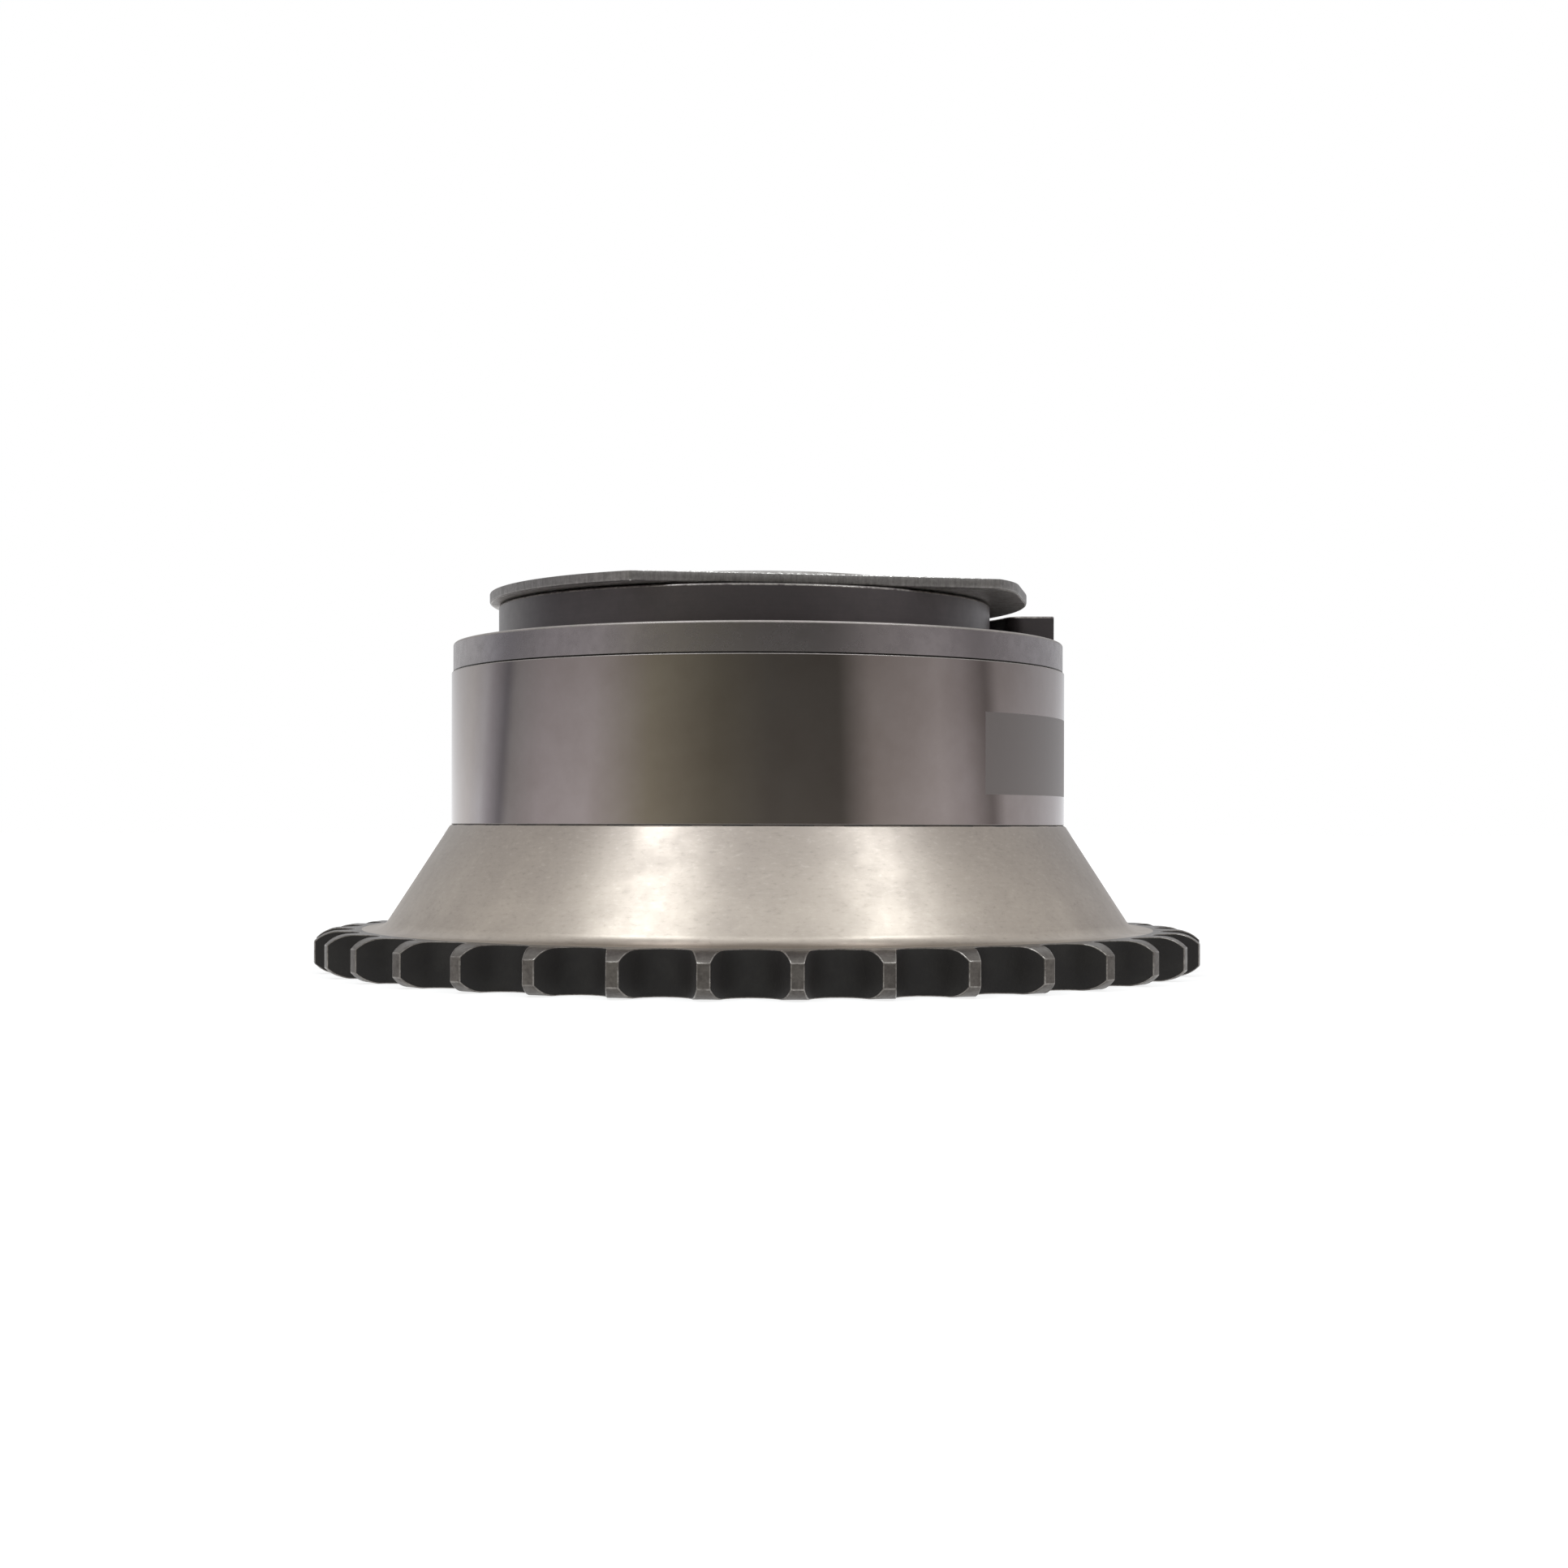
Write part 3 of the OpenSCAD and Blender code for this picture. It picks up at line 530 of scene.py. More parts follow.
# Pale and dark tone, size of the patches and of the grain in millimetres, roughness where pale and
# where dark, and depth of the relief in millimetres
MOTTLED = {
    # Sintered steel as pressed, and where it is sized afterwards
    "pressed_steel": ("sinter", "sinter_pore", 3.0, 0.4, 0.38, 0.55, 0.05),
    "sized_steel": ("sized", "sinter", 3.5, 0.45, 0.3, 0.46, 0.03),
    # Machined teeth, and their edges rubbed bare
    "tooth_steel": ("tooth", "tooth_dim", 2.0, 0.45, 0.34, 0.44, 0.03),
    "bare_edge": ("edge", "tooth", 0.9, 0.3, 0.24, 0.36, 0.03),
    # Cover with oil stains, its and the body's handled edges, and painted shade in the seam under the cover
    "stained_steel": ("cover", "cover_stain", 4.0, 1.1, 0.22, 0.3, 0.004),
    "worn_edge": ("edge", "body", 3.0, 0.8, 0.38, 0.46, 0.001),
    "oiled_seam": ("scale_worn", "scale", 3.0, 0.8, 0.4, 0.5, 0.001),
    # Edges of the spring strip where the blackening is rubbed off
    "rubbed_edge": ("edge", "spring_worn", 2.5, 0.4, 0.26, 0.4, 0.03),
    # Rolled sheet of the plate, its underside in a pale tone that is a painted reflection, and the torn
    # burr
    "rolled_sheet": ("plate", "plate_dim", 5.0, 0.5, 0.1, 0.16, 0.005),
    "pickled_sheet": ("burr", "ground", 2.0, 0.4, 0.38, 0.5, 0.02),
    "torn_burr": ("burr", "plate_dim", 1.2, 0.3, 0.2, 0.4, 0.03),
    # Ground pins and bushes, blackened screws and bright spring wire
    "ground_pin": ("ground", "plate_dim", 2.0, 0.4, 0.16, 0.28, 0.01),
    "black_oxide": ("oxide", "scale", 1.8, 0.35, 0.34, 0.5, 0.03),
    "drawn_wire": ("wire", "plate_dim", 1.2, 0.25, 0.22, 0.36, 0.01),
}


def mottled_steel(name, tones):
    """Steel in two tones: patches broken up by grain, duller where it is darker. Made once by name."""
    if name in bpy.data.materials:
        return bpy.data.materials[name]
    pale, dark, patch, grain, smooth, dull, depth = MOTTLED[name]
    return two_tone(name, getattr(tones, dark), getattr(tones, pale), coarse=((patch,) * 3, 5.0, 0.62),
                    fine=((grain,) * 3, 3.0, 0.6), share=0.45, steps=(0.39, 0.6),
                    rough=(0.35, 0.65, dull, smooth), bump=(0.35, depth), Metallic=1.0)


def moulded_plastic(tones):
    """Seals: glass-filled nylon, moulded. Dark and matt, with faint flow clouds and fine grit."""
    finish, add, where = start_finish("moulded_plastic")
    flow = add("TexNoise", {"Vector": where, "Scale": cells(3), "Detail": 3.0})["Fac"]
    grit = add("TexNoise", {"Vector": where, "Scale": cells(0.3), "Detail": 2.0})["Fac"]
    pale = [1.35 * part for part in tones.plastic]
    tone = add("Mix", {
        SHARE: flow, FIRST_TONE: rgba(tones.plastic), SECOND_TONE: rgba(pale)},
        data_type="RGBA")[MIXED_TONE]
    rough = add("MapRange", {
        "Value": grit, "From Min": 0.3, "From Max": 0.7,
        "To Min": 0.5, "To Max": 0.62})["Result"]
    relief = add("Bump", {"Strength": 0.3, "Distance": 0.02 * MM, "Height": grit})["Normal"]
    return end_finish(finish, tone, rough, relief, IOR=1.53)


# Pieces

def pitch_radius(s):
    """Radius of the circle on which the chain's rollers lie."""
    return s.chain_pitch / (2 * math.sin(math.pi / s.teeth))


def tooth_outline(bm, s):
    """Draw the closed outline of all teeth at height 0 and return its edges."""
    seat_steps, flank_steps = 10, 8
    pitch_r = pitch_radius(s)
    tip_r = pitch_r + s.tip_rise
    low = bm.verts.new((pitch_r - s.roller_seat, 0, 0))
    swept = bmesh.ops.spin(bm, geom=[low], cent=(pitch_r, 0, 0), axis=(0, 0, 1),
                           angle=s.flank - math.pi / 2, steps=seat_steps)["geom_last"]
    seat = verts_in(swept)[0]
    along = Vector((math.cos(s.flank), math.sin(s.flank)))
    ahead = seat.co.xy.dot(along)
    reach = math.sqrt(ahead ** 2 - seat.co.xy.length_squared + tip_r ** 2) - ahead
    tip, foot_xy = seat, seat.co.xy.copy()
    for k in range(1, flank_steps + 1):
        tip = bmesh.ops.extrude_vert_indiv(bm, verts=[tip])["verts"][0]
        tip.co.xy = foot_xy + along * reach * k / flank_steps
    crown = bmesh.ops.extrude_vert_indiv(bm, verts=[tip])["verts"][0]
    half_step = math.pi / s.teeth
    crown.co = (tip_r * math.cos(half_step), tip_r * math.sin(half_step), 0)
    twin = bmesh.ops.duplicate(bm, geom=bm.verts[:] + bm.edges[:])["geom"]
    bmesh.ops.scale(bm, vec=(1, -1, 1), verts=verts_in(twin))
    bmesh.ops.rotate(bm, cent=(0, 0, 0), verts=bm.verts[:],
                     matrix=Matrix.Rotation(s.tooth_phase + half_step, 3, "Z"))
    return repeat_around(bm, s.teeth)


def web_holes(s):
    """Cutters for the screw holes, the lock pockets and their vents in the web."""
    bm = bmesh.new()
    top_z = top("sprocket")
    web_z = top_z - s.web
    past = 1.0 * MM
    pocket_z = foot("lock_bush_1")
    holes = [(s.screw_orbit, FULL_TURN * i / LOBES, s.screw_hole, web_z - past, top_z + past)
             for i in range(LOBES)]
    for turn in (s.lock_first, s.lock_first + s.lock_travel):
        holes.append((s.lock_orbit, turn, s.lock_pocket, pocket_z, top_z + past))
        holes.append((s.lock_orbit, turn, s.lock_vent, web_z - past, pocket_z + past))
    for orbit, turn, radius, low, high in holes:
        place = Matrix.Translation((*polar(orbit, turn), (low + high) / 2))
        bmesh.ops.create_cone(bm, cap_ends=True, segments=HOLE_STEPS, radius1=radius, radius2=radius,
                              depth=high - low, matrix=place)
    return bm


class PHASER_OT_sprocket(bpy.types.Operator):
    """Build the toothed ring, its cone and the web as one piece"""

    bl_idname = "phaser.sprocket"
    bl_label = "Sprocket"

    def execute(self, context):
        s = context.scene.phaser_sizes
        tones = context.scene.phaser_finishes
        pressed, turned, gap, tooth, bare = range(5)
        ring_z, top_z = s.ring_height, top("sprocket")
        web_z = top_z - s.web
        tip_r = pitch_radius(s) + s.tip_rise
        root_r = pitch_radius(s) - s.roller_seat
        base_r = root_r - s.ring_land
        hollow_r = base_r - s.rim_wall
        cone_top_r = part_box("stator")[1].x + s.cone_step
        bevel_from = tip_r - s.bevel_length
        bevel_r = (s.bevel_length ** 2 + s.bevel_height ** 2) / (2 * s.bevel_height)
        land_r = root_r - s.gap_margin

        def fall(radius):
            """Depth of the bevel at a radius."""
            return bevel_r - math.sqrt(bevel_r ** 2 - max(radius - bevel_from, 0.0) ** 2)

        def crown(row, height):
            """Rows from the teeth in to the flat ring, at heights that follow from the radius."""
            # How far out on the bevel a row stays, and its least step in, in edge roundings
            for share, least in ((0.8, 2.2), (0.65, 0.5), (0.4, 0.5), (0.0, 0.5)):
                def place(point):
                    radius = point.xy.length
                    inner = min(radius - least * s.tooth_round, bevel_from + (radius - bevel_from) * share)
                    inner = max(inner, land_r + NEAR)
                    return at(inner, height(inner))(point)
                row = ring_on(bm, row, place, tooth)
            return ring_on(bm, row, at(land_r, height(land_r)), tooth)

        bm = bmesh.new()
        low = tooth_outline(bm, s)
        for vert in bm.verts:
            vert.co.z = fall(vert.co.xy.length)
        high = ring_on(bm, low, lambda p: Vector((p.x, p.y, ring_z - fall(p.xy.length))), gap)
        for face in bm.faces:
            if face.calc_center_median().xy.length > tip_r - NEAR:
                face.material_index = tooth
        # The upper side: bevels, flat ring, fillet, cone, web and bore
        row = crown(high, lambda radius: ring_z - fall(radius))
        up = Vector((cone_top_r - base_r, top_z - ring_z)).normalized()
        bend = math.acos(-up.x)
        inset = s.cone_fillet * math.tan(bend / 2)
        bend_steps = 8
        for k in range(bend_steps + 1):
            turn = -math.pi / 2 - bend * k / bend_steps
            row = ring_on(bm, row, at(base_r + inset + s.cone_fillet * math.cos(turn),
                                      ring_z + s.cone_fillet * (1 + math.sin(turn))), turned)
        for radius, height, slot in ((cone_top_r, top_z, turned), (s.journal_bore, top_z, pressed),
                                     (s.journal_bore, web_z, pressed), (s.hollow_top, web_z, pressed),
                                     (hollow_r, 0.0, pressed)):
            row = ring_on(bm, row, at(radius, height), slot)
        # The lower side, from the teeth inwards, meets it there
        ring_on(bm, crown(low, fall), at(hollow_r, 0.0), pressed)
        close_shell(bm)
        round_edges(bm, s.tooth_round, 2, lambda e: middle_radius(e) > root_r - NEAR / 2, CORNER, bare)
        round_edges(bm, s.edge_round, 3, lambda e: middle_radius(e) < base_r - 5 * NEAR, CORNER)
        for vert in bm.verts:
            vert.co.z = max(vert.co.z, 0.0)
        finishes = (mottled_steel("pressed_steel", tones), turned_steel(tones), hardened_scale(tones),
                    mottled_steel("tooth_steel", tones), mottled_steel("bare_edge", tones))
        make_piece("sprocket_toothed", bm, finishes, "housing", "sprocket",
                   cutter=web_holes(s))
        return {"FINISHED"}


def chamber_outline(bm, s):
    """Draw the closed inner outline of the body, with its lobes, at height 0 and return its edges."""
    lobe_steps, chamber_steps = 16, 24

    def arc(vert, sweep, steps):
        swept = bmesh.ops.spin(bm, geom=[vert], cent=(0, 0, 0), axis=(0, 0, 1), angle=sweep, steps=steps)
        return verts_in(swept["geom_last"])[0]

    def out_to(vert, radius):
        moved = bmesh.ops.extrude_vert_indiv(bm, verts=[vert])["verts"][0]
        moved.co = at(radius, 0.0)(vert.co)
        return moved

    first = bm.verts.new((s.lobe_tip * math.cos(s.lobe / 2), -s.lobe_tip * math.sin(s.lobe / 2), 0))
    last = out_to(arc(first, s.lobe, lobe_steps), s.chamber)
    out_to(arc(last, FULL_TURN / LOBES - s.lobe, chamber_steps), s.lobe_tip)
    return repeat_around(bm, LOBES)


class PHASER_OT_body(bpy.types.Operator):
    """Build the cylindrical body with its inner lobes"""

    bl_idname = "phaser.body"
    bl_label = "Body"

    def execute(self, context):
        s = context.scene.phaser_sizes
        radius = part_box("stator")[1].x
        low_z, high_z = foot("stator"), top("stator")
        ground, pressed, worn = range(3)

        def at_least(least, height):
            return lambda p: at(max(p.xy.length, least), height)(p)

        bm = bmesh.new()
        low = chamber_outline(bm, s)
        for vert in bm.verts:
            vert.co.z = low_z
        high = ring_on(bm, low, at_least(0.0, high_z), pressed)
        row = ring_on(bm, low, at_least(s.chamber, low_z), pressed)
        row = ring_on(bm, row, at(radius, low_z), pressed)
        ring_on(bm, row, at(radius, high_z), ground)
        row = ring_on(bm, high, at_least(s.chamber, high_z), pressed)
        ring_on(bm, row, at(radius, high_z), pressed)
        close_shell(bm)
        round_edges(bm, s.body_edge, 3, lambda e: middle_radius(e) > radius - NEAR, CORNER, worn)
        tones = context.scene.phaser_finishes
        finishes = (ground_steel(tones), mottled_steel("pressed_steel", tones),
                    mottled_steel("worn_edge", tones))
        make_piece("body_ground", bm, finishes, "housing", "stator")
        return {"FINISHED"}


class PHASER_OT_cover(bpy.types.Operator):
    """Build the front cover"""

    bl_idname = "phaser.cover"
    bl_label = "Front cover"

    def execute(self, context):
        s = context.scene.phaser_sizes
        tones = context.scene.phaser_finishes
        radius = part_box("front_cover")[1].x
        low_z, high_z = foot("front_cover"), top("front_cover")
        # The faces keep slot 0, stained
        worn, seam = 1, 2
        bm = bmesh.new()
        draw_outline(bm, [(s.cover_opening, 0.0, low_z), (radius, 0.0, low_z), (radius, 0.0, high_z),
                          (s.cover_opening, 0.0, high_z)])
        bmesh.ops.spin(bm, geom=bm.verts[:] + bm.edges[:], cent=(0, 0, 0), axis=(0, 0, 1),
                       angle=FULL_TURN, steps=TURNED_STEPS, use_merge=True)
        close_shell(bm)
        # Its lower edges are rounded in a nearly black tone: painted shade for the dark line at the seam
        round_edges(bm, s.seam_edge, 3, lambda e: sum(v.co.z for v in e.verts) < low_z + high_z, slot=seam)
        round_edges(bm, s.edge_round, 3, turn=CORNER, slot=worn)
        finishes = [mottled_steel(name, tones) for name in ("stained_steel", "worn_edge", "oiled_seam")]
        make_piece("cover_stained", bm, finishes, "housing", "front_cover")
        return {"FINISHED"}


def strip_line(s):
    """Middle line of the spring strip as points: leg, bend, coil, bend and hook."""
    half = s.strip / 2
    turns = ((s.coil - s.coil_end) / s.coil_pitch) ** (1 / s.coil_ease)
    end = s.leg_place + FULL_TURN * turns
    leg_mid = polar(s.coil - half + s.strip_bend, s.leg_place)
    end_mid = polar(s.coil_end - half - s.strip_bend, end)
    leg_steps, bend_steps, turn_steps = 4, 12, 144
    coil_steps = round(turn_steps * turns)
    line = [leg_mid + Vector((s.leg * k / leg_steps, -s.strip_bend)) for k in range(leg_steps, 0, -1)]
    for k in range(bend_steps):
        turn = 1.5 * math.pi - (math.pi / 2 - s.leg_place) * k / bend_steps
        line.append(leg_mid + polar(s.strip_bend, turn))
    for k in range(coil_steps):
        u = turns * k / coil_steps
        line.append(polar(s.coil - half - s.coil_pitch * u ** s.coil_ease, s.leg_place + FULL_TURN * u))
    for k in range(bend_steps + 1):
        line.append(end_mid + polar(s.strip_bend, end + math.pi / 2 * k / bend_steps))
    line.append(polar(s.hook_in, end) + polar(s.strip_bend, end + math.pi / 2))
    return line


def sweep(bm, stations):
    """Draw the section that the bmesh holds through the stations and close its end."""
    bmesh.ops.transform(bm, matrix=stations[0], verts=bm.verts[:])
    row = bm.edges[:]
    for before, after in zip(stations, stations[1:]):
        step = after @ before.inverted()
        row = ring_on(bm, row, lambda p: step @ p)
    bmesh.ops.contextual_create(bm, geom=row)
    close_shell(bm, FINE_WELD)


class PHASER_OT_spring(bpy.types.Operator):
    """Build the flat spiral spring by drawing its rounded section along its line"""

    bl_idname = "phaser.spring"
    bl_label = "Bias spring"

    def execute(self, context):
        line = strip_line(context.scene.phaser_sizes)
        middle = (foot("bias_spring") + top("bias_spring")) / 2
        stations = []
        for k, point in enumerate(line):
            ahead = line[min(k + 1, len(line) - 1)] - line[max(k - 1, 0)]
            turn = Matrix.Rotation(math.atan2(ahead.y, ahead.x), 4, "Z")
            stations.append(Matrix.Translation((point.x, point.y, middle)) @ turn)
        tones = context.scene.phaser_finishes
        finishes = (blackened_strip(tones), mottled_steel("rubbed_edge", tones))
        # The hook turns with the rotor, so the strip parts from it there, under the plate
        hook_points = 20
        cut = len(line) - hook_points
        self.strip(context, "spring_strip", stations[:cut + 1], finishes, "housing")
        self.strip(context, "spring_hook", stations[cut:], finishes, "rotor")
        return {"FINISHED"}

    def strip(self, context, name, stations, finishes, body):
        """A length of strip through the stations, riding on a body."""
        s = context.scene.phaser_sizes
        plain, rubbed = range(2)
        low_z, high_z = foot("bias_spring"), top("bias_spring")
        bm = bmesh.new()
        bmesh.ops.create_grid(bm, x_segments=1, y_segments=1, size=0.5)
        bmesh.ops.scale(bm, vec=(s.strip, high_z - low_z, 1), verts=bm.verts[:])
        for axis in "XZ":
            bmesh.ops.rotate(bm, cent=(0, 0, 0), matrix=Matrix.Rotation(math.pi / 2, 3, axis),
                             verts=bm.verts[:])
        bmesh.ops.bevel(bm, geom=bm.verts[:], offset=s.strip_round, offset_type="OFFSET", segments=3,
                        profile=0.5, affect="VERTICES", clamp_overlap=True, material=-1)
        sweep(bm, stations)
        round_edges(bm, s.strip_end, 2, turn=60.0)
        edge_z = s.strip_round + NEAR / 5
        for face in bm.faces:
            between = low_z + edge_z < face.calc_center_median().z < high_z - edge_z
            face.material_index = plain if between else rubbed
        make_piece(name, bm, finishes, body, "bias_spring")


def plate_outline(s, radius):
    """Outline of the plate as points: its round, the horn's tangent and end, then the straight side."""
    out, along = polar(1.0, s.plate_turn - math.pi / 2), polar(1.0, s.plate_turn)
    orbit = radius + s.horn_reach - s.horn
    centre = polar(orbit, s.horn_place)
    tangent = s.horn_place + math.acos((radius - s.horn) / orbit)
    left = -math.sqrt(radius ** 2 - s.plate_flat ** 2)
    right = centre.dot(along) + math.sqrt(s.horn ** 2 - (s.plate_flat - centre.dot(out)) ** 2)
    corner = out * s.plate_flat + along * left
    start = math.atan2(corner.y, corner.x) + FULL_TURN
    end_way = out * s.plate_flat + along * right - centre
    horn_end = math.atan2(end_way.y, end_way.x)
    round_steps, horn_steps, side_steps = 180, 16, 120
    points = [polar(radius, start + (tangent - start) * k / round_steps) for k in range(round_steps + 1)]
    points += [centre + polar(s.horn, tangent + (horn_end - tangent) * k / horn_steps)
               for k in range(horn_steps + 1)]
    points += [out * s.plate_flat + along * (right + (left - right) * k / side_steps)
               for k in range(1, side_steps)]
    return points, left, right


class PHASER_OT_plate(bpy.types.Operator):
    """Build the stamped retainer plate and the burr on its straight side"""

    bl_idname = "phaser.plate"
    bl_label = "Retainer plate"

    def execute(self, context):
        s = context.scene.phaser_sizes
        tones = context.scene.phaser_finishes
        rolled, cut, dull = range(3)
        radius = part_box("retainer_plate")[1].y
        low_z, high_z = foot("retainer_plate"), top("retainer_plate")
        sheet_z = low_z + s.sheet
        rise = high_z - sheet_z
        slope = rise / 2
        under_r = s.raise_radius - s.sheet
        points, left, right = plate_outline(s, radius)
        bm = bmesh.new()
        low = draw_outline(bm, [(*point, low_z) for point in points])
        row = ring_on(bm, low, lambda p: Vector((p.x, p.y, sheet_z)), cut)
        for place in (at(s.raise_radius + slope, sheet_z), at(s.raise_radius, high_z),
                      at(s.plate_hole, high_z), at(s.plate_hole, low_z + rise),
                      at(under_r, low_z + rise), at(under_r + slope, low_z)):
            row = ring_on(bm, row, place, rolled)
        # Its flat underside takes a pale tone: a painted reflection of the white surroundings
        ring_on(bm, low, at(under_r + slope, low_z), dull)
        close_shell(bm)
        # The punch rounds the lower edge and leaves the upper one sharp
        rim = s.raise_radius + 2 * slope
        round_edges(bm, s.punched_edge, 3,
                    lambda e: middle_radius(e) > rim and e.verts[0].co.z < low_z + NEAR)
        round_edges(bm, s.sheet_edge, 2)
        finishes = (mottled_steel("rolled_sheet", tones), sheared_edge(tones),
                    mottled_steel("pickled_sheet", tones))
        make_piece("plate_stamped", bm, finishes, "rotor", "retainer_plate")
        self.burr(s, left, right, sheet_z, tones)
        return {"FINISHED"}

    def burr(self, s, left, right, level, tones):
        """A ragged ridge on the upper edge of the straight side, where the die tore the sheet."""
        draw = random.Random(7)
        radius, pitch, margin, inset, sink = (size * MM for size in (0.11, 0.2, 0.5, 0.13, 0.04))
        out, along = polar(1.0, s.plate_turn - math.pi / 2).to_3d(), polar(1.0, s.plate_turn).to_3d()
        start, end = left + margin, right - margin
        centre = out * (s.plate_flat - inset) + Vector((0, 0, level - sink))
        turn = Matrix((along, out, Vector((0, 0, 1)))).transposed().to_4x4()
        stations = []
        for k in range(int((end - start) / pitch)):
            lift = Vector((0, 0, draw.uniform(-0.04, 0.05) * MM))
            place = Matrix.Translation(centre + along * (start + pitch * k) + lift)
            stations.append(place @ turn @ Matrix.Scale(draw.uniform(0.4, 1.3), 4))
        bm = bmesh.new()
        bmesh.ops.create_circle(bm, cap_ends=True, segments=5, radius=radius)
        bmesh.ops.rotate(bm, cent=(0, 0, 0), matrix=Matrix.Rotation(math.pi / 2, 3, "Y"), verts=bm.verts[:])
        sweep(bm, stations)
        make_piece("plate_burr", bm, (mottled_steel("torn_burr", tones),), "rotor", None)


class PHASER_OT_inner(bpy.types.Operator):
    """Give the inner pieces, which keep their CAD shape, their finishes"""

    bl_idname = "phaser.inner"
    bl_label = "Inner pieces"

    def execute(self, context):
        tones = context.scene.phaser_finishes
        numbered = [(place, i + 1) for place in ("vane", "lobe") for i in range(LOBES)]
        worn_by = (
            (mottled_steel("sized_steel", tones), ("rotor", "spring_arbor")),
            (mottled_steel("ground_pin", tones), ("cam_dowel", "stator_dowel", "spring_post", "lock_pin",
                                                  "lock_cap", "lock_bush_1", "lock_bush_2")),
            (mottled_steel("black_oxide", tones), ("housing_screws",)),
            (mottled_steel("drawn_wire", tones),
             ("lock_spring", *(f"{place}_seal_spring_{i}" for place, i in numbered))),
            (moulded_plastic(tones), [f"{place}_seal_{i}" for place, i in numbered]),
        )
        for finish, nodes in worn_by:
            for node in nodes:
                frame["nodes"][node].material_slots[0].material = finish
        return {"FINISHED"}


# Stage

# Sizes in metres: the floor and the round screen that stands on it
FLOOR_RADIUS, SCREEN_RADIUS, SCREEN_HEIGHT = 4.0, 0.4, 0.19
# The camera's distance from the axis, and its lens and sensor in millimetres
CAMERA_AWAY, LENS, SENSOR = 0.285, 50.37, 36.0
# The frame's side in pixels, its shift to the right and up in pixels, and its roll in degrees
FRAME_SIDE, FRAME_RIGHT, FRAME_UP, FRAME_ROLL = 1932, 32.5, 50.6, -0.14
# The lamps: direction from the part, side in metres and power in watts
LAMPS = (("soft_left", (-0.405, -0.308, 0.861), 0.2, 1.42),
         ("soft_right", (0.475, -0.254, 0.843), 0.2, 1.02),
         ("soft_top", (0.03, -0.25, 0.968), 0.5, 0.5))
LAMP_AWAY, LAMP_TINT = 0.8, (0.94, 1.0, 1.04)
LAMP_CENTRE = Vector((0, 0, 0.02))
WHITE = (1.0, 1.0, 1.0)


def seen_directly(add):
    """1 for rays that come from the eye, a mirror or glass, and 0 for diffuse light."""
    path = add("LightPath")
    first = add("Math", {
        0: path["Is Camera Ray"], 1: path["Is Glossy Ray"]}, operation="MAXIMUM")[0]
    return add("Math", {
        0: first, 1: path["Is Transmission Ray"]}, operation="MAXIMUM")[0]


def stage_mesh(name, bm, finish):
    """Turn a bmesh into a stage object."""
    thing = to_object(name, to_mesh(name, bm, (finish,)))
    return thing


def white_floor():
    """A white sweep that stays white to the eye and keeps a soft shadow."""
    finish = bpy.data.materials.new("white_floor")
    add = start_nodes(finish)
    paint = add("BsdfDiffuse", {"Color": rgba((0.3, 0.3, 0.3))})[0]
    where = add("TexCoord")["Object"]
    away = add("VectorMath", {0: where}, operation="LENGTH")["Value"]
    lift = add("MapRange", {
        "Value": away, "From Min": 0.1, "From Max": 0.5,
        "To Min": 0.8, "To Max": 1.1})["Result"]
    glow = add("Emission", {"Strength": lift})[0]
    bright = add("AddShader", {0: paint, 1: glow})[0]
    board = add("BsdfDiffuse", {"Color": rgba((0.7, 0.7, 0.7))})[0]
    above = add("MixShader", {0: seen_directly(add), 1: board, 2: bright})[0]
    # Clear from below, so that the part's underside can be looked at
    below = add("NewGeometry")["Backfacing"]
    clear = add("BsdfTransparent")[0]
    shown = add("MixShader", {0: below, 1: above, 2: clear})[0]
    add("OutputMaterial", {"Surface": shown})
    return finish


def room_screen():
    """A round screen that metal mirrors: dark towards the camera, grey beside it, white behind."""
    finish = bpy.data.materials.new("room_screen")
    add = start_nodes(finish)
    where = add("TexCoord")["Object"]
    axes = add("SeparateXYZ", {"Vector": where})
    front = add("Math", {0: axes["Y"], 1: -1.0}, operation="MULTIPLY")[0]
    turn = add("Math", {0: axes["X"], 1: front}, operation="ARCTAN2")[0]
    # The things that stand in the room lean outwards at the top
    lean = add("MapRange", {
        "Value": axes["Z"], "From Min": 0.0, "From Max": 0.1,
        "To Min": 0.95, "To Max": 1.09})["Result"]
    leaning = add("Math", {0: turn, 1: lean}, operation="MULTIPLY")[0]
    place = add("MapRange", {
        "Value": leaning, "From Min": -math.pi, "From Max": math.pi})["Result"]
    ramp = add("ValToRGB", {"Fac": place})["Color"]
    # Degrees from the camera's side, and the nearly grey colour there
    stops = (
        (-180, 0.8, 0.8, 0.82), (-128, 1.0, 1.0, 1.0), (-117, 0.93, 0.95, 1.0), (-111, 0.65, 0.65, 0.7),
        (-102, 0.32, 0.32, 0.35), (-97, 0.55, 0.55, 0.56), (-80, 0.75, 0.72, 0.74), (-60, 0.83, 0.8, 0.81),
        (-37, 0.5, 0.48, 0.38), (-14, 0.26, 0.25, 0.2), (4, 0.185, 0.18, 0.16), (28, 0.17, 0.165, 0.15),
        (40, 0.55, 0.52, 0.5), (66, 0.79, 0.76, 0.76), (77, 0.66, 0.63, 0.64), (89, 0.32, 0.3, 0.3),
        (96, 0.68, 0.66, 0.67), (122, 0.8, 0.8, 0.83), (180, 0.8, 0.8, 0.82))
    points = ramp.node.color_ramp.elements
    while len(points) < len(stops):
        points.new(0.5)
    # Places first, because the ramp sorts its points by them
    for point, (degrees, *_) in zip(points, stops):
        point.position = (degrees + 180) / 360
    for point, (_, *grey) in zip(points, stops):
        point.color = rgba(grey)
    # The room is darker higher up
    dusk = add("MapRange", {
        "Value": axes["Z"], "From Min": 0.02, "From Max": 0.065,
        "To Min": 1.16, "To Max": 0.86})["Result"]
    glow = add("Emission", {"Color": ramp, "Strength": dusk})[0]
    add("OutputMaterial", {"Surface": glow})
    return finish


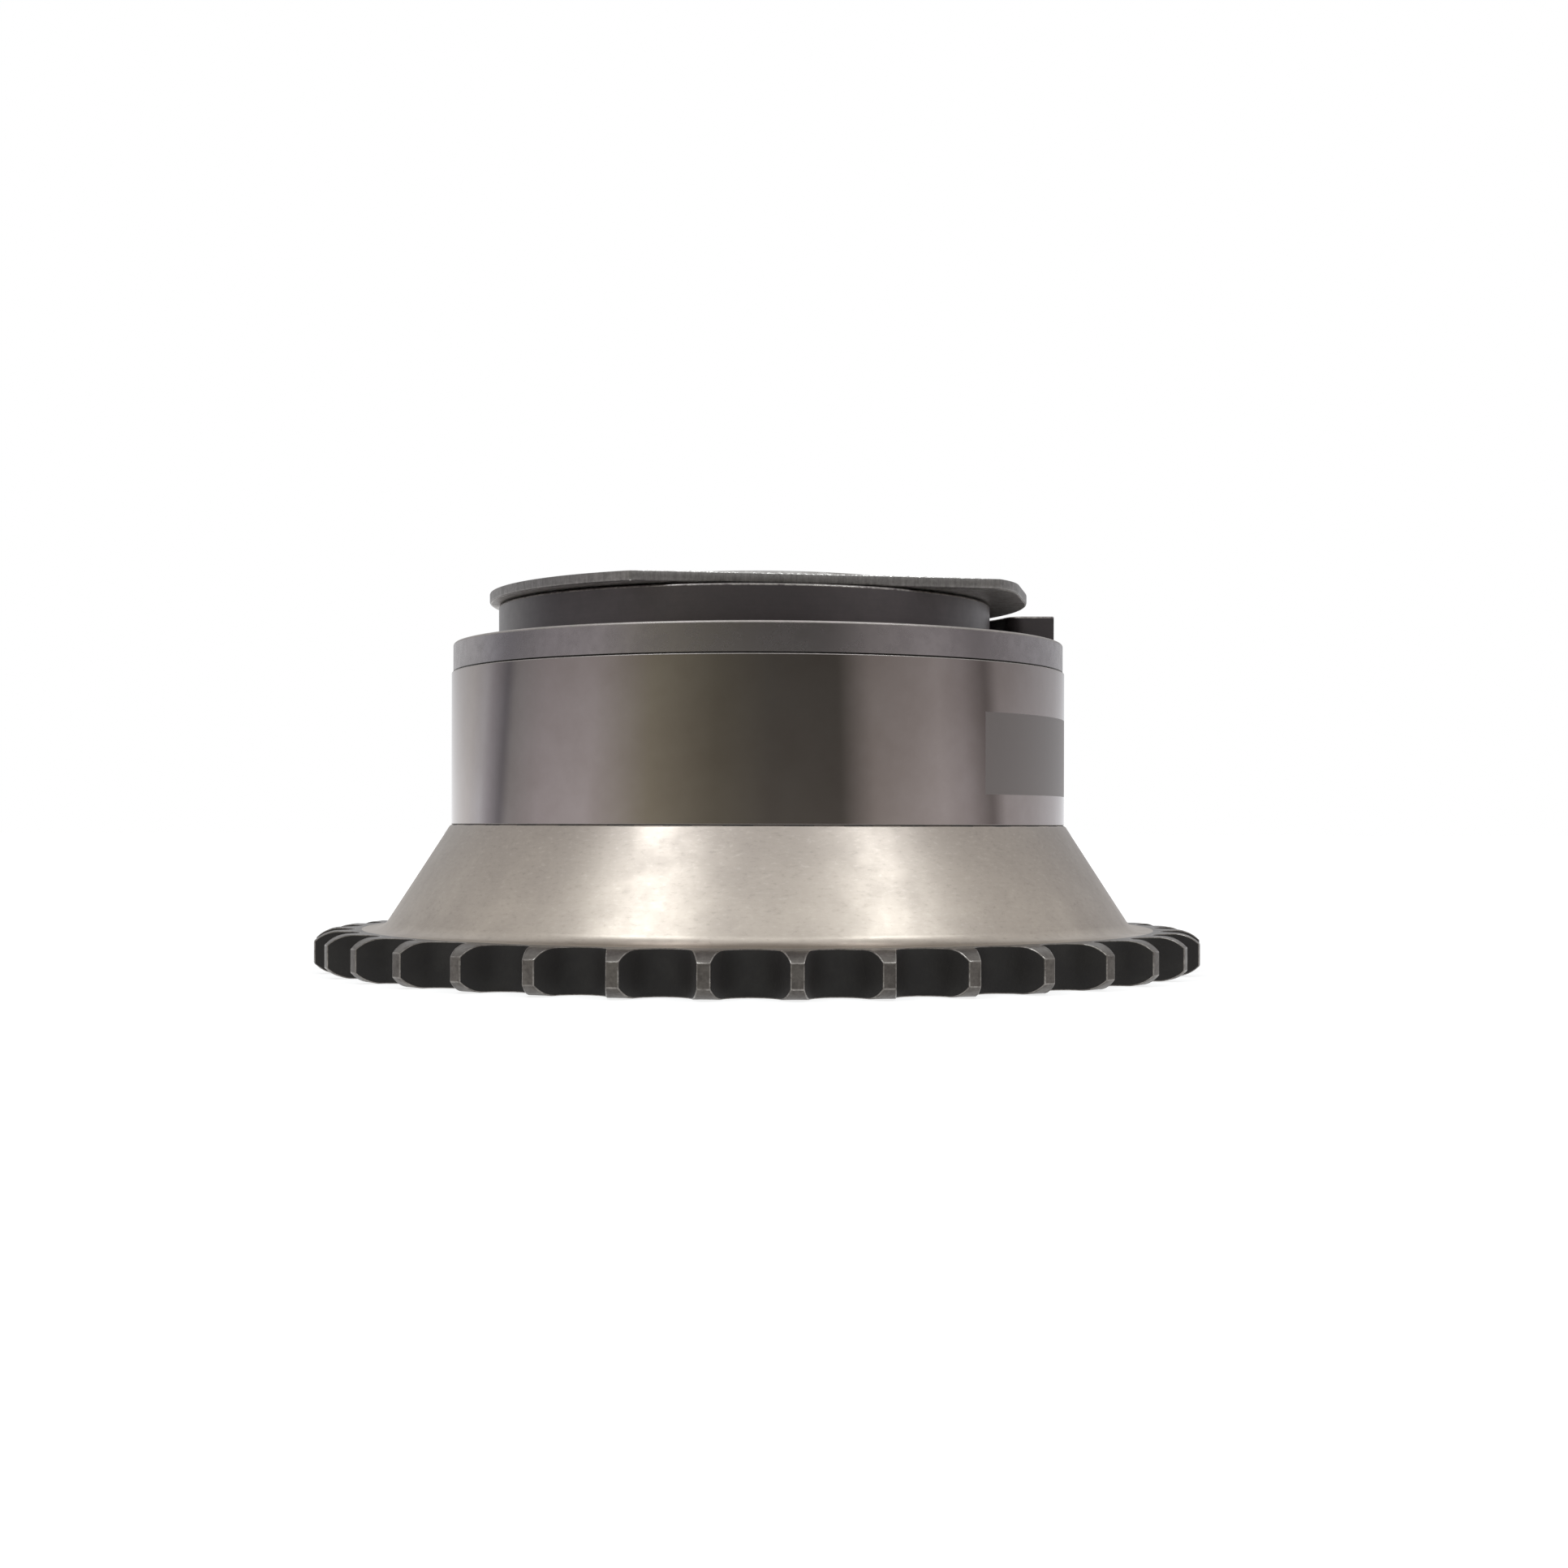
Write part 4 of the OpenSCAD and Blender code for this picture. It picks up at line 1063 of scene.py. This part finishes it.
class PHASER_OT_stage(bpy.types.Operator):
    """Set up the floor, the screen, the lamps and the camera"""

    bl_idname = "phaser.stage"
    bl_label = "Stage"

    def execute(self, context):
        scene = context.scene
        scene.view_settings.view_transform = "Standard"
        bm = bmesh.new()
        bmesh.ops.create_circle(bm, cap_ends=True, radius=FLOOR_RADIUS, segments=STAGE_STEPS)
        # Just under the part, so that their faces don't share a plane
        bmesh.ops.translate(bm, vec=(0, 0, -0.05 * MM), verts=bm.verts[:])
        stage_mesh("floor", bm, white_floor())
        bm = bmesh.new()
        bmesh.ops.create_cone(bm, cap_ends=False, segments=STAGE_STEPS, radius1=SCREEN_RADIUS,
                              radius2=SCREEN_RADIUS, depth=SCREEN_HEIGHT,
                              matrix=Matrix.Translation((0, 0, SCREEN_HEIGHT / 2)))
        screen = stage_mesh("screen", bm, room_screen())
        screen.visible_camera = False
        screen.visible_shadow = False
        self.world(scene)
        self.lamps(scene)
        self.camera(scene)
        return {"FINISHED"}

    def world(self, scene):
        """White to the eye and in mirrors, softer for diffuse light."""
        world = bpy.data.worlds.new("studio")
        add = start_nodes(world)
        soft = add("Background", {"Color": rgba(WHITE), "Strength": 0.55})[0]
        white = add("Background", {"Color": rgba(WHITE), "Strength": 1.0})[0]
        shown = add("MixShader", {0: seen_directly(add), 1: soft, 2: white})[0]
        add("OutputWorld", {"Surface": shown})
        scene.world = world

    def lamps(self, scene):
        """Soft boxes above the front: left and right for the cone's highlights, and a broad one between."""
        for name, way, side, power in LAMPS:
            lamp = bpy.data.lights.new(name, "AREA")
            lamp.shape = "SQUARE"
            lamp.size = side
            lamp.energy = power
            lamp.color = LAMP_TINT
            thing = bpy.data.objects.new(name, lamp)
            thing.location = Vector(way) * LAMP_AWAY + LAMP_CENTRE
            thing.rotation_euler = (-Vector(way)).to_track_quat("-Z", "Y").to_euler()
            scene.collection.objects.link(thing)

    def camera(self, scene):
        """Level with the joint between cone and body, a little off centre and turned as framed."""
        view = bpy.data.cameras.new("camera")
        view.sensor_width = SENSOR
        view.lens = LENS
        view.shift_x = FRAME_RIGHT / FRAME_SIDE
        view.shift_y = FRAME_UP / FRAME_SIDE
        view.clip_start, view.clip_end = 0.01, 20.0
        thing = bpy.data.objects.new("camera", view)
        thing.location = (0.0, -CAMERA_AWAY, top("sprocket"))
        thing.rotation_euler = (math.pi / 2, math.radians(FRAME_ROLL), 0.0)
        scene.collection.objects.link(thing)
        scene.camera = thing


class PHASER_PT_pieces(bpy.types.Panel):
    """The phaser's pieces in the sidebar"""

    bl_idname = "PHASER_PT_pieces"
    bl_label = "Cam phaser"
    bl_space_type = "VIEW_3D"
    bl_region_type = "UI"
    bl_category = "Phaser"

    def draw(self, context):
        for operator in OPERATORS:
            self.layout.operator(operator.bl_idname)


OPERATORS = (PHASER_OT_stage, PHASER_OT_sprocket, PHASER_OT_body, PHASER_OT_cover, PHASER_OT_spring,
             PHASER_OT_plate, PHASER_OT_inner)
CLASSES = (PhaserSizes, PhaserFinishes, *OPERATORS, PHASER_PT_pieces)


def register():
    for kind in CLASSES:
        bpy.utils.register_class(kind)
    bpy.types.Scene.phaser_sizes = PointerProperty(type=PhaserSizes)
    bpy.types.Scene.phaser_finishes = PointerProperty(type=PhaserFinishes)


def unregister():
    del bpy.types.Scene.phaser_finishes
    del bpy.types.Scene.phaser_sizes
    for kind in reversed(CLASSES):
        bpy.utils.unregister_class(kind)


def main():
    register()
    bpy.ops.phaser.stage()
    bpy.ops.phaser.sprocket()
    bpy.ops.phaser.body()
    bpy.ops.phaser.cover()
    bpy.ops.phaser.spring()
    bpy.ops.phaser.plate()
    bpy.ops.phaser.inner()


if __name__ == "__main__":
    main()
